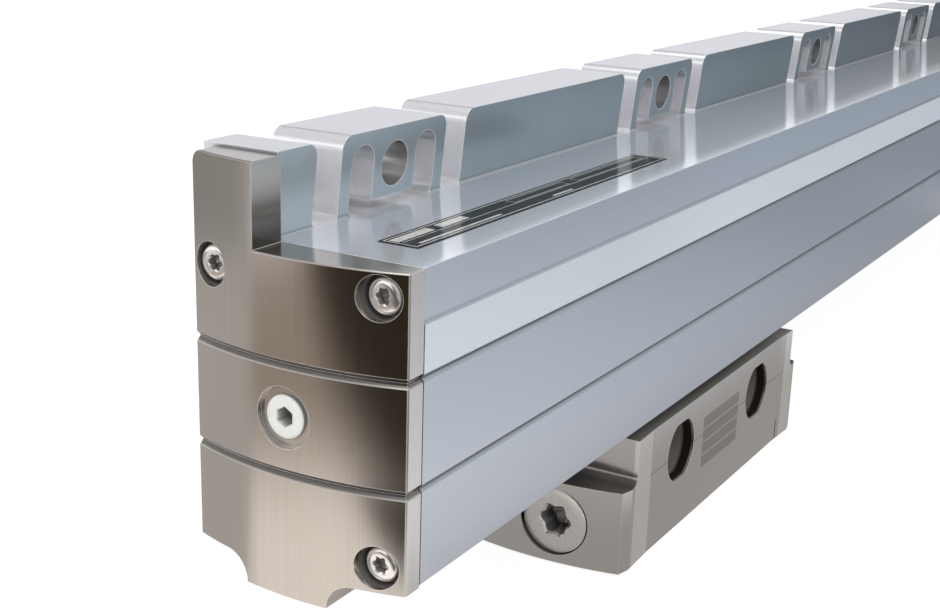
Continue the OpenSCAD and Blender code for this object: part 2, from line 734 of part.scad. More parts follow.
// Interface board, screwed flat onto its pads at the bottom of the cell.
module interface_board() color(board_green) translate([x_rest, 0, cell_floor + board_gap]) difference() {
  box([-cell_half + 0.4, cell_front + 0.4, 0], [cell_half - 0.4, cell_rear - 0.4, board_t]);
  for (p = board_spots) translate([p[0], p[1], -1]) cylinder(h = 4, r = 0.85);
}

module board_chips() color(seal_black) translate([x_rest, (cell_front + cell_rear) / 2, cell_floor + board_gap + board_t]) {
  box([-5.5, -2.5, 0], [-0.5, 2.5, 0.9]);
  box([1.5, -1.5, 0], [4.5, 1.5, 0.8]);
  box([5.5, -1.2, 0], [7, 1.2, 0.6]);
}

module board_screws() color(steel) translate([x_rest, 0, 0]) for (p = board_spots)
  translate([p[0], p[1], cell_floor + board_gap + board_t + 0.7]) rotate([0, 90, 0]) screw_x(1.5, 2.8, 0.7, 3.4, 1.4);

// Flat strip of thickness t through a list of points.
module strip(points, t) {
  for (i = [0:len(points) - 2]) {
    d = points[i + 1] - points[i];
    translate(points[i]) rotate(atan2(d[1], d[0])) translate([0, -t / 2]) square([norm(d), t]);
    if (i > 0) translate(points[i]) circle(t / 2, $fn = 8);
  }
}

// Flat lead from the board up the blade's channel, under the bridge and up to the sensor board.
module flex_lead() color([0.72, 0.45, 0.14]) {
  y_in = y_mid - blade_t / 2 + lead_t / 2;
  y_out = arm_front_out - lead_t / 2;
  z_run = z_bridge - 1.2;
  along_x(x_rest - lead_w / 2, lead_w) strip([
    [y_in - 3, cell_floor + board_gap + board_t + 2], [y_in - 3, cell_floor + board_gap + board_t + 2.4],
    [y_in, z_deck - tongue_drop - 1], [y_in, z_blade + 0.3],
    [y_in - 3, z_run], [y_out, z_run], [y_out, z_scan - 6]
  ], lead_t);
}

// ---------------------------------------------------------------- carriage

// Two lugs that hold a side roller's axle, drawn about the roller's centre.
module side_lugs(reach) {
  for (s = [-1, 1]) translate([0, 0, s * (lug_reach - lug_t / 2)])
    box([-lug_w / 2, -reach, -lug_t / 2], [lug_w / 2, axle_d / 2 + 0.8, lug_t / 2]);
}

// Frame of the carriage: a bridge under the glass with an arm in front of it and one behind.
module carriage() color([0.55, 0.56, 0.58]) translate([x_rest, 0, 0]) difference() {
  half = carriage_l / 2;
  union() {
    box([-half, arm_front_out, z_bridge], [half, arm_front_in, arm_top]);
    box([-half, arm_rear_in, z_bridge], [half, arm_rear_out, arm_top]);
    box([-half, arm_front_out, z_bridge], [half, arm_rear_out, z_bridge + bridge_t]);
    for (s = [-1, 1], e = [-1, 1]) translate([s * edge_roll_x, y_mid + e * (lug_reach - lug_t / 2), 0])
      box([-lug_w / 2, -lug_t / 2, z_bridge], [lug_w / 2, lug_t / 2, z_edge_roll + axle_d / 2 + 0.8]);
    for (i = [0:2]) translate([side_roll_x[i], side_roll_y, side_roll_z[i]]) side_lugs(side_roll_y - arm_front_in + 0.5);
    box([rod_lug_x[0], y_mid - 3, z_blade + 0.4], [rod_lug_x[1], y_mid + 3, z_bridge + 1]);
    translate([0, 0, z_scan]) rod_y(y_lens - 0.8, 5.75, 6.4);
  }
  for (s = [-1, 1]) translate([s * edge_roll_x, 0, z_edge_roll]) rod_y(y_mid - 6, 12, axle_d / 2 + 0.005);
  for (i = [0:2]) translate([side_roll_x[i], side_roll_y, side_roll_z[i] - 5]) cylinder(h = 10, r = axle_d / 2 + 0.005);
  translate([0, y_mid, z_rod]) rod_x(rod_lug_x[0] - 1, 20, rod_r + fit);
  translate([(rod_lug_x[0] + rod_lug_x[1]) / 2, 0, z_rod + 1.6]) rod_y(y_mid - 8, 16, 0.8 + fit);
  translate([0, 0, z_scan]) {
    rod_y(y_lens - 1.6, 3.3, 5.4);
    rod_y(y_lens + 1.4, 3.05, 4.2);
    rod_y(arm_rear_in - 1, 12, 2.5 + fit);
  }
  box([-window_w / 2 + 2, arm_front_out - 1, z_scan - 4], [window_w / 2 - 2, arm_front_in + 1, z_scan + 4]);
  for (s = [-1, 1]) translate([s * scan_screw_x, 0, z_scan]) rod_y(arm_front_out - 1, 20, 0.8 + fit);
}

// Spring rod that couples the carriage to the blade.
module drive_rod() color(steel) translate([x_rest, y_mid, z_rod])
  rod_x(rod_clamp_x[0] + 1, rod_lug_x[1] - rod_clamp_x[0] - 1, rod_r);

// Clamp that sits astride the top of the blade and holds the spring rod.
module rod_clamp() color(nickel) translate([x_rest, y_mid, 0]) difference() {
  box([rod_clamp_x[0], -2.3, z_blade - 1.9], [rod_clamp_x[1], 2.3, z_rod + 1.7]);
  box([rod_clamp_x[0] - 1, -blade_t / 2 - fit, z_blade - 5], [rod_clamp_x[1] + 1, blade_t / 2 + fit, z_blade + 0.05]);
  translate([0, 0, z_rod]) rod_x(rod_clamp_x[0] - 1, 12, rod_r + fit);
  translate([(rod_clamp_x[0] + rod_clamp_x[1]) / 2, 0, z_blade - 0.8]) rod_y(-5, 10, 0.55);
}

// Cross screw of the clamp and grub screw of the carriage's rod lug.
module rod_screws() color(steel) translate([x_rest, y_mid, 0]) {
  translate([(rod_clamp_x[0] + rod_clamp_x[1]) / 2, 0, z_blade - 0.8]) {
    rod_y(-2.9, 0.6, 0.9);
    rod_y(-2.3 - eps, 4.6, 0.5);
  }
  translate([(rod_lug_x[0] + rod_lug_x[1]) / 2, 0, z_rod + 1.6]) rod_y(-3, 6, 0.8);
}

// Infrared lamp pressed into the rear arm.
module lamp() color([0.75, 0.55, 0.55]) translate([x_rest, 0, z_scan]) {
  rod_y(arm_rear_in - 0.5, 3.2, 2.5);
  rod_y(arm_rear_in - 1.3, 1, 1.8);
}

// Condenser lens, flat towards the glass and domed towards the lamp.
module lamp_lens() color(glass_tint) translate([x_rest, y_lens, z_scan])
  rotate([-90, 0, 0]) rotate_extrude() intersection() {
    square([5.3, 2.4]);
    translate([0, 2.4 - 12]) circle(12, $fn = 180);
  }

// Retaining ring that holds the lens in its barrel.
module lens_ring() color(seal_black) translate([x_rest, 0, z_scan]) difference() {
  rod_y(y_lens - 0.8, 0.8, 5.35);
  rod_y(y_lens - 1.6, 3, 4.4);
}

// Scanning grid, a small glass plate close to the scale.
module scanning_grid() color(glass_tint) translate([x_rest, 0, z_scan])
  box([-window_w / 2 + 1, glass_front - 2, -4.5], [window_w / 2 - 1, glass_front - 0.8, 4.5]);

// Frame that holds the scanning grid off the front arm.
module grid_frame() color(seal_black) translate([x_rest, 0, z_scan]) difference() {
  box([-window_w / 2, arm_front_in, -5.2], [window_w / 2, glass_front - 1, 5.2]);
  box([-window_w / 2 + 1, glass_front - 2, -4.5], [window_w / 2 - 1, glass_front, 4.5]);
  box([-window_w / 2 + 2, arm_front_in - 1, -3.6], [window_w / 2 - 2, glass_front, 3.6]);
}

// Sensor board on the outer face of the front arm.
module sensor_board() color(board_green) translate([x_rest, 0, z_scan]) difference() {
  box([-scan_screw_x - 3.5, arm_front_out - board_t, -5.8], [scan_screw_x + 3.5, arm_front_out, 5.8]);
  for (s = [-1, 1]) translate([s * scan_screw_x, 0, 0]) rod_y(arm_front_out - 2, 3, 0.85);
}

module sensor_chip() color([0.20, 0.20, 0.24]) translate([x_rest, 0, z_scan])
  box([-4.5, arm_front_out, -3.4], [4.5, arm_front_out + 1.2, 3.4]);

module sensor_screws() color(steel) for (s = [-1, 1])
  translate([x_rest + s * scan_screw_x, arm_front_out - board_t - 0.6, z_scan]) {
    rod_y(0, 0.6, 1.4);
    rod_y(0.6 - eps, 3.6, 0.8);
  }

// Roller bored for its axle.
module roller() difference() {
  cylinder(h = roller_w, r = roller_d / 2, center = true);
  cylinder(h = roller_w + 1, r = axle_d / 2 + 0.03, center = true);
}

module edge_axles() color(steel) for (s = [-1, 1])
  translate([x_rest + s * edge_roll_x, 0, z_edge_roll]) rod_y(y_mid - lug_reach, 2 * lug_reach, axle_d / 2);

module side_axles() color(steel) for (i = [0:2])
  translate([x_rest + side_roll_x[i], side_roll_y, side_roll_z[i]])
    cylinder(h = 2 * lug_reach, r = axle_d / 2, center = true);

module edge_roller(s) color(steel) translate([x_rest + s * edge_roll_x, y_mid, z_edge_roll]) rotate([90, 0, 0]) roller();
module side_roller(i) color(steel) translate([x_rest + side_roll_x[i], side_roll_y, side_roll_z[i]]) roller();
module edge_roller_1() edge_roller(-1);
module edge_roller_2() edge_roller(1);
module side_roller_1() side_roller(0);
module side_roller_2() side_roller(1);
module side_roller_3() side_roller(2);

// ---------------------------------------------------------------- nodes

scale_housing();
glass_scale();
scale_bond();
lip_front();
lip_rear();
end_cap_near();
end_cap_far();
cap_gasket_near();
cap_gasket_far();
cap_screws_near();
cap_screws_far();
air_plug_near();
air_plug_far();
type_plate();
mounting_block();
block_lid();
lid_gasket();
lid_screws();
blade();
blade_screws();
port_plug();
port_seal_near();
cable_socket();
socket_pins();
port_seal_far();
interface_board();
board_chips();
board_screws();
flex_lead();
carriage();
drive_rod();
rod_clamp();
rod_screws();
lamp();
lamp_lens();
lens_ring();
scanning_grid();
grid_frame();
sensor_board();
sensor_chip();
sensor_screws();
edge_axles();
side_axles();
edge_roller_1();
edge_roller_2();
side_roller_1();
side_roller_2();
side_roller_3();
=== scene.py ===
from math import atan2, cos, pi, radians, sin

import bmesh
import bpy
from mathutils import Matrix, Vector


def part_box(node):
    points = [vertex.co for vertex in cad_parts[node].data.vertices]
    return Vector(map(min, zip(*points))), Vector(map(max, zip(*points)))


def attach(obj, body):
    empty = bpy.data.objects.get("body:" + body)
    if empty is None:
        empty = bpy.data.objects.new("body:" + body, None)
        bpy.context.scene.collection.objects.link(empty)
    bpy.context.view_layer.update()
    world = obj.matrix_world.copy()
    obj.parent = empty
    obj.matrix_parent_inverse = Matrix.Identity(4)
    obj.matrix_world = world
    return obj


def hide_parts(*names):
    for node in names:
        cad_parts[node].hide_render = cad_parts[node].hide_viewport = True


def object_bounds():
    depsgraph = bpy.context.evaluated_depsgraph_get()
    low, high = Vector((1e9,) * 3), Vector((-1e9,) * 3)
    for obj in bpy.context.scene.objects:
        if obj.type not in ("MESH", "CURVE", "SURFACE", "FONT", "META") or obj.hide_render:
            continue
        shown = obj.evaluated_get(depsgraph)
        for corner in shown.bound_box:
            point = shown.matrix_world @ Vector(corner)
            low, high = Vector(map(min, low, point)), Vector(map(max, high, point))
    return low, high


bl_info = {
    "name": "Linear glass scale finishes",
    "version": (1, 0, 0),
    "blender": (4, 5, 0),
    "location": "View3D > Sidebar > Glass Scale",
    "description": "Finishes, small turned parts and studio for a sealed linear glass scale",
    "category": "Object",
}

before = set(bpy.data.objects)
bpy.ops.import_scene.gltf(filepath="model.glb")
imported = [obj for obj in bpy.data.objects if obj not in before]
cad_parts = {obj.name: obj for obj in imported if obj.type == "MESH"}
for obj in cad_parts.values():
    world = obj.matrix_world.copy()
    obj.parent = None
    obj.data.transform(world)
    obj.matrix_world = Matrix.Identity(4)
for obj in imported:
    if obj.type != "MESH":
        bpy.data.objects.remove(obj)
CAD_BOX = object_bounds()
MM = 0.001
NEAR = "near"
FAR = "far"

# lengths from here to SCREW_HEAD are in millimetres, apart from DECK_Z and HOLE_PITCH in metres
# top face of the housing, and how far below it the set-back strip and both grooves lie
DECK_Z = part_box("type_plate")[0].z
STRIP_FOOT = 7.3
GROOVES = (14.9, 30.7)
# front of the flange, and half the width of the zone round a fixing hole's axis
FLANGE_FRONT = -12.6
HOLE_ZONE = 3.7
HOLE_PITCH = 100 * MM
# marks and slots of the scanning unit: x0, x1 from its middle, z0, z1 from its underside
PALE_ENDS = ((-42, -34.6, -1, 30), (37.6, 43, -1, 30))
SCRIBED_LINE = (-34.9, 37.2, 15.6, 15.78)
SHORT_DARK_LINE = (35.1, 35.7, -1, 4.6)
FIELD_X = (-9.5, 9.7)
FIELD_Z = (8.2, 19.4)
FIELD_ROWS = 4
ROW_GAP = 0.18
SCREW_SLOTS = (-29, 29, 9, 22)
# heights of the unit's ledges, which take painted shade
LEDGE_Z = (15.6, 18.0)
# blank frames and blocks of the type plate, as shares of its length, True in the upper row
PLATE_FRAMES = ((0.40, 0.62), (0.66, 0.97))
PLATE_BLOCKS = (
    (0.012, 0.125, True), (0.15, 0.24, True), (0.03, 0.30, False), (0.50, 0.58, False),
)
SCREW_HEAD = 2.8
SCREW_SETS = (
    "cap_screws_near", "cap_screws_far", "lid_screws", "blade_screws", "board_screws",
    "rod_screws", "sensor_screws",
)
# name, colour, roughness and CAD nodes of the plain metals
METALS = (
    ("ground_steel", (0.62, 0.63, 0.64), 0.14, (
        "edge_axles", "side_axles", "edge_roller_1", "edge_roller_2",
        "side_roller_1", "side_roller_2", "side_roller_3",
    )),
    ("spring_steel", (0.52, 0.53, 0.54), 0.28, ("blade", "drive_rod")),
    ("gold_contacts", (0.86, 0.62, 0.27), 0.22, ("socket_pins",)),
    ("cast_carriage", (0.20, 0.20, 0.21), 0.5, ("carriage",)),
)
# name, colour, roughness, fineness of the grain and CAD nodes of moulded and coated parts
MOULDINGS = (
    ("seal_rubber", (0.018, 0.018, 0.019), 0.62, 500, (
        "lip_front", "lip_rear", "cap_gasket_near", "cap_gasket_far", "lid_gasket",
        "port_seal_near", "port_seal_far",
    )),
    ("black_plastic", (0.028, 0.028, 0.031), 0.42, 900, (
        "cable_socket", "board_chips", "lens_ring", "grid_frame", "sensor_chip",
    )),
    ("elastic_bond", (0.78, 0.78, 0.74), 0.6, 300, ("scale_bond",)),
    ("solder_resist", (0.02, 0.17, 0.07), 0.3, 260, ("interface_board", "sensor_board")),
    ("amber_film", (0.42, 0.19, 0.03), 0.3, 420, ("flex_lead",)),
    ("smoky_resin", (0.22, 0.06, 0.06), 0.2, 500, ("lamp",)),
)
# tones that gloss picks up from all round the object
PANEL = (0.58, 0.62, 0.66)
PANEL_FOOT = (0.35, 0.385, 0.42)
BACK_LOW = (1.08, 1.07, 1.10)
BACK_HIGH = (0.50, 0.50, 0.52)
DARK_END = (0.10, 0.085, 0.07)
CEILING = (1.9, 1.9, 1.9)
# foot of the near cap, and tones that gloss picks up from the floor behind, beside and in front:
# painted reflections, and painted shadow near the object
CAP_FOOT = (-35, -15)
REAR_OUTER = (0.50, 0.485, 0.47)
REAR_INNER = (0.40, 0.385, 0.37)
REAR_FAR = (0.31, 0.31, 0.305)
REAR_FARTHEST = (0.32, 0.315, 0.305)
REAR_WHITE = (1.25, 1.24, 1.26)
END_DULL = (0.36, 0.30, 0.26)
END_CLOSE = (1.02, 0.955, 0.91)
END_FAR = (0.80, 0.77, 0.78)
SHADE_DEEP = (0.030, 0.023, 0.014)
SHADE_FRONT = (0.40, 0.38, 0.36)
FRONT_NEAR = (0.80, 0.845, 0.92)
FRONT_FAR = (0.36, 0.405, 0.47)
FRONT_PATCH = (0.90, 0.93, 0.98)
OUTER_NEAR = (0.56, 0.60, 0.65)
OUTER_FAR = (0.29, 0.35, 0.42)
OUTER_LAST = (0.12, 0.165, 0.21)
# lines on the floor: a point in millimetres, and the direction in which the distance grows
BESIDE_LINE = (*CAP_FOOT, 0.707, 0.707)
END_LINE = (-80, 48, -0.783, -0.622)
CORNER_LINE = (-107, -13, -0.679, -0.734)
# floor to the camera: its own glow, and the share that still takes shadow
FLOOR_GLOW = 0.87
FLOOR_SHADOW = (0.24, 0.24, 0.24)
WHITE = (1, 1, 1)
# name, place, aim, size and power of the lamps, in metres and watts
SOFTBOXES = (
    ("key_softbox", (-0.5, -0.9, 1.1), (0.1, 0, -0.03), (0.9, 0.9), 9),
    ("fill_softbox", (-1.1, 0.45, 0.55), (0.0, 0, -0.03), (0.8, 0.8), 6),
    ("far_softbox", (1.2, -0.4, 0.9), (0.3, 0, -0.03), (0.9, 0.9), 5),
)
SENSOR_WIDTH = 36
CAMERA_CLIP = (0.005, 50)
EDGE_SAMPLES = 6
SHARP_ANGLE = radians(32)
MERGE_DISTANCE = 1e-7


# ------------------------------------------------------------------ sizes and colours


def colour_property(name, text, value):
    return bpy.props.FloatVectorProperty(
        name=name, description=text, subtype="COLOR", size=3, min=0, max=1, default=value
    )


def length_property(name, text, value):
    return bpy.props.FloatProperty(
        name=name, description=text, subtype="DISTANCE", unit="LENGTH", min=0, precision=5,
        default=value,
    )


def factor_property(name, text, value):
    return bpy.props.FloatProperty(
        name=name, description=text, subtype="FACTOR", min=0, max=1, default=value
    )


class HousingFinish(bpy.types.PropertyGroup):
    """Clear-anodised extrusion and its machined flange."""

    satin: colour_property("Satin", "Anodised skin of the extrusion", (0.62, 0.635, 0.665))
    top_strip: colour_property("Top strip", "Strip under the top edge", (0.68, 0.685, 0.715))
    # far strip and far band: painted light, lighter further along
    far_strip: colour_property("Far strip", "The strip further along", (0.93, 0.94, 0.96))
    light_band: colour_property("Light band", "Band above the groove", (0.71, 0.755, 0.785))
    far_band: colour_property("Far band", "The band further along", (0.85, 0.895, 0.925))
    deck: colour_property("Deck", "Top face in front of the flange", (0.76, 0.81, 0.87))
    # flange tones: painted shade on the flange's front, darker further along
    flange_near: colour_property("Flange near", "Flange by the near cap", (0.62, 0.68, 0.70))
    flange: colour_property("Flange", "Flange past the first block", (0.41, 0.475, 0.50))
    flange_far: colour_property("Flange far", "Flange at the far end", (0.22, 0.27, 0.30))
    machined: colour_property("Machined", "Milled blocks, slots and bores", (0.90, 0.905, 0.92))
    # corner, arch and bore tones: painted shade, and painted light along a bore's foot
    corner: colour_property("Corner", "Milled faces in inner corners", (0.66, 0.655, 0.67))
    arch: colour_property("Arch", "Milled faces that look down", (0.48, 0.485, 0.50))
    bore_top: colour_property("Bore top", "Upper side of a fixing hole", (0.42, 0.41, 0.40))
    bore_foot: colour_property("Bore foot", "Lower side of a fixing hole", (1.0, 0.99, 0.99))
    drawn: colour_property("Drawn lines", "Faint lines of the extrusion", (0.2, 0.22, 0.25))
    cloud: colour_property("Cloud", "Faint pale clouds", (0.9, 0.92, 0.95))
    seam: colour_property("Seam", "Shade in grooves and joints", (0.06, 0.065, 0.075))
    # painted highlight along the edges
    wear_and_glint: colour_property("Worn edge", "Bare metal along the edges", (0.97, 0.97, 0.98))
    roughness: factor_property("Roughness", "Roughness of the satin skin", 0.3)
    deck_roughness: factor_property("Deck roughness", "Roughness of the top face", 0.12)
    milled_roughness: factor_property("Milled roughness", "Roughness of milled faces", 0.2)
    edge: length_property("Edge break", "Rounding of the machined edges", 0.12 * MM)


class PlatedFinish(bpy.types.PropertyGroup):
    """Nickel-plated end caps and mounting block."""

    plate: colour_property("Plating", "Warm grey nickel", (0.66, 0.62, 0.57))
    shade: colour_property("Brush shade", "Darker lines of the brushing", (0.58, 0.545, 0.50))
    cloud: colour_property("Cloud", "Faint pale clouds of the plating", (0.78, 0.76, 0.72))
    # darker level top of a cap's leg
    leg_top_dark: colour_property("Sawn top", "Dull top of a cap's leg", (0.16, 0.155, 0.145))
    # painted highlight along the edges of the caps
    wear_and_glint: colour_property("Worn edge", "Bright edges of the caps", (0.96, 0.91, 0.86))
    unit: colour_property("Unit plating", "Satin nickel of the unit", (0.665, 0.64, 0.62))
    unit_cloud: colour_property("Unit cloud", "Faint pale clouds", (0.80, 0.78, 0.76))
    unit_ends: colour_property("Unit ends", "Pale strips at its ends", (0.93, 0.915, 0.905))
    # ledges and slots of the unit: painted shade, and a painted dim reflection in the slots
    unit_level: colour_property("Unit ledges", "Dull level faces", (0.36, 0.335, 0.305))
    slot_mouth: colour_property("Slot mouth", "Dark rim of a slot", (0.012, 0.01, 0.008))
    slot_wall: colour_property("Slot wall", "Rough wall of a slot", (0.27, 0.235, 0.215))
    # painted highlight along the edges of the unit
    unit_edge_glint: colour_property("Unit worn edge", "Bright edges of the unit", (0.88, 0.86, 0.83))
    marking: colour_property("Marking", "Dark marks of the unit", (0.13, 0.125, 0.12))
    # painted shade in grooves and corners
    crease_shade: colour_property("Grime", "Shade in grooves and corners", (0.035, 0.03, 0.025))
    roughness: factor_property("Roughness", "Roughness of the brushed plating", 0.16)
    edge: length_property("Edge break", "Rounding of the edges", 0.08 * MM)


class SmallParts(bpy.types.PropertyGroup):
    """Screws, plugs, glass and the type plate."""

    steel: colour_property("Screw steel", "Bright nickel-plated steel", (0.72, 0.71, 0.69))
    turned: colour_property("Turned steel", "Heads of the cap screws", (0.96, 0.93, 0.89))
    nickel: colour_property("Turned nickel", "Blind plug of the unit", (0.84, 0.81, 0.78))
    plastic: colour_property("Plug plastic", "White plug of the air port", (0.74, 0.74, 0.71))
    film: colour_property("Plate film", "Black film of the type plate", (0.008, 0.008, 0.009))
    print: colour_property("Plate print", "Pale lines of the type plate", (0.62, 0.62, 0.60))
    glass: colour_property("Glass", "Faint green of the optical glass", (0.86, 0.93, 0.92))
    facets: bpy.props.IntProperty(
        name="Facets", description="Vertices round a turned part", default=96, min=24, max=240
    )


class StudioSettings(bpy.types.PropertyGroup):
    """Floor, surroundings and camera."""

    floor_size: length_property("Floor size", "Side of the square floor", 8.0)
    floor_gap: length_property("Floor gap", "Gap between underside and floor", 0.4 * MM)
    pale: colour_property("Floor colour", "Pale floor", (0.86, 0.86, 0.86))
    camera_place: bpy.props.FloatVectorProperty(
        name="Camera place", description="Where the camera stands", subtype="TRANSLATION",
        unit="LENGTH", size=3, default=(-0.17992, -0.13347, 0.04207),
    )
    camera_turn: bpy.props.FloatVectorProperty(
        name="Camera turn", description="How the camera is turned", subtype="EULER",
        unit="ROTATION", size=3, default=(radians(73.379), radians(-1.6), radians(-58.78)),
    )
    lens: bpy.props.FloatProperty(
        name="Lens", description="Focal length on a 36 mm sensor", default=55.2, min=20, max=200
    )
    sky: factor_property("Sky", "Even light from all round", 0.62)

# ------------------------------------------------------------------ node helpers


class Nodes:
    """Short names for making and joining the nodes of a material or a world."""

    def __init__(self, owner):
        owner.use_nodes = True
        self.nodes = owner.node_tree.nodes
        self.nodes.clear()
        self.join = owner.node_tree.links.new

    def add(self, kind, **settings):
        node = self.nodes.new(kind)
        for key, value in settings.items():
            setattr(node, key, value)
        return node

    def after(self, kind, source):
        node = self.add(kind)
        self.join(source, node.inputs[0])
        return node

    def feed(self, socket, value):
        if hasattr(value, "is_output"):
            self.join(value, socket)
        elif socket.type == "RGBA":
            socket.default_value = (*value, 1)
        else:
            socket.default_value = value

    def axes(self, vector):
        return self.after("ShaderNodeSeparateXYZ", vector).outputs

    def math(self, operation, a, b=0.0, clamp=False):
        node = self.add("ShaderNodeMath", operation=operation, use_clamp=clamp)
        self.feed(node.inputs[0], a)
        self.feed(node.inputs[1], b)
        return node.outputs[0]

    def times(self, result, *others):
        for other in others:
            result = self.math("MULTIPLY", result, other)
        return result

    def largest(self, result, *others):
        for other in others:
            result = self.math("MAXIMUM", result, other)
        return result

    def less(self, a, b):
        """a minus b, and never under 0."""
        return self.math("SUBTRACT", a, b, clamp=True)

    def above(self, value, limit):
        return self.math("GREATER_THAN", value, limit)

    def below(self, value, limit):
        return self.math("LESS_THAN", value, limit)

    def size_of(self, value):
        return self.math("ABSOLUTE", value)

    def span(self, value, low, high, to_low=0.0, to_high=1.0, smooth=True):
        """Rise from to_low at low to to_high at high; high may lie below low."""
        kind = "SMOOTHSTEP" if smooth else "LINEAR"
        node = self.add("ShaderNodeMapRange", interpolation_type=kind)
        for socket, item in zip(node.inputs[:5], (value, low, high, to_low, to_high)):
            self.feed(socket, item)
        return node.outputs[0]

    def between(self, value, low, high, soft):
        """1 where value lies between low and high, with soft edges."""
        up = self.span(value, low - soft, low + soft)
        return self.less(up, self.span(value, high - soft, high + soft))

    def mix(self, share, a, b):
        node = self.add("ShaderNodeMix", data_type="RGBA")
        for index, item in ((0, share), (6, a), (7, b)):
            self.feed(node.inputs[index], item)
        return node.outputs[2]

    def blend_numbers(self, share, a, b):
        node = self.add("ShaderNodeMix", data_type="FLOAT")
        for index, item in ((0, share), (2, a), (3, b)):
            self.feed(node.inputs[index], item)
        return node.outputs[0]

    def choose(self, share, first, second):
        node = self.add("ShaderNodeMixShader")
        for socket, item in zip(node.inputs, (share, first, second)):
            self.join(item, socket)
        return node.outputs[0]


class Finish(Nodes):
    """A node material under construction."""

    def __init__(self, name, metallic=0.0, roughness=0.4, **fixed):
        self.material = bpy.data.materials.new(name)
        super().__init__(self.material)
        self.shader = self.add("ShaderNodeBsdfPrincipled")
        out = self.add("ShaderNodeOutputMaterial")
        self.join(self.shader.outputs[0], out.inputs["Surface"])
        self.set(metallic=metallic, roughness=roughness, **fixed)
        coord = self.add("ShaderNodeTexCoord")
        self.place = coord.outputs["Object"]
        self.facing = coord.outputs["Normal"]

    def set(self, **inputs):
        for key, value in inputs.items():
            name = key.replace("_", " ").title().replace("Ior", "IOR")
            self.feed(self.shader.inputs[name], value)

    def stretched(self, scale):
        node = self.after("ShaderNodeMapping", self.place)
        node.inputs["Scale"].default_value = scale
        return node.outputs[0]

    def noise(self, vector, scale, detail=2.0, roughness=0.5):
        node = self.add("ShaderNodeTexNoise")
        self.join(vector, node.inputs["Vector"])
        node.inputs["Scale"].default_value = scale
        node.inputs["Detail"].default_value = detail
        node.inputs["Roughness"].default_value = roughness
        return node.outputs["Fac"]

    def relief(self, height, distance, strength, edge):
        bump = self.add("ShaderNodeBump")
        bump.inputs["Strength"].default_value = strength
        bump.inputs["Distance"].default_value = distance
        self.join(height, bump.inputs["Height"])
        if edge:
            self.join(self.broken_edge(edge), bump.inputs["Normal"])
        self.join(bump.outputs[0], self.shader.inputs["Normal"])

    def occlusion_shade(self, distance, low, high, darkest, lightest=1.0):
        """Painted shade that gathers in grooves, joints and recesses, from ambient occlusion."""
        node = self.add("ShaderNodeAmbientOcclusion", samples=EDGE_SAMPLES)
        node.inputs["Distance"].default_value = distance
        return self.span(node.outputs["AO"], low, high, darkest, lightest)

    def edge_glints(self, radius):
        """1 on the narrow breaks along edges, where painted highlights go, 0 on open faces."""
        dot = self.add("ShaderNodeVectorMath", operation="DOT_PRODUCT")
        self.join(self.broken_edge(radius), dot.inputs[0])
        self.join(self.add("ShaderNodeNewGeometry").outputs["Normal"], dot.inputs[1])
        return self.span(dot.outputs["Value"], 0.985, 0.86)

    def broken_edge(self, radius):
        bevel = self.add("ShaderNodeBevel", samples=EDGE_SAMPLES)
        bevel.inputs["Radius"].default_value = radius
        return bevel.outputs[0]


def dress(material, *names):
    """Puts a material on every slot of the named CAD nodes."""
    for name in names:
        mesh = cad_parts[name].data
        if not mesh.materials:
            mesh.materials.append(material)
        for index in range(len(mesh.materials)):
            mesh.materials[index] = material


# ------------------------------------------------------------------ finishes


def toned(colour, factor):
    return [min(1, part * factor) for part in colour]


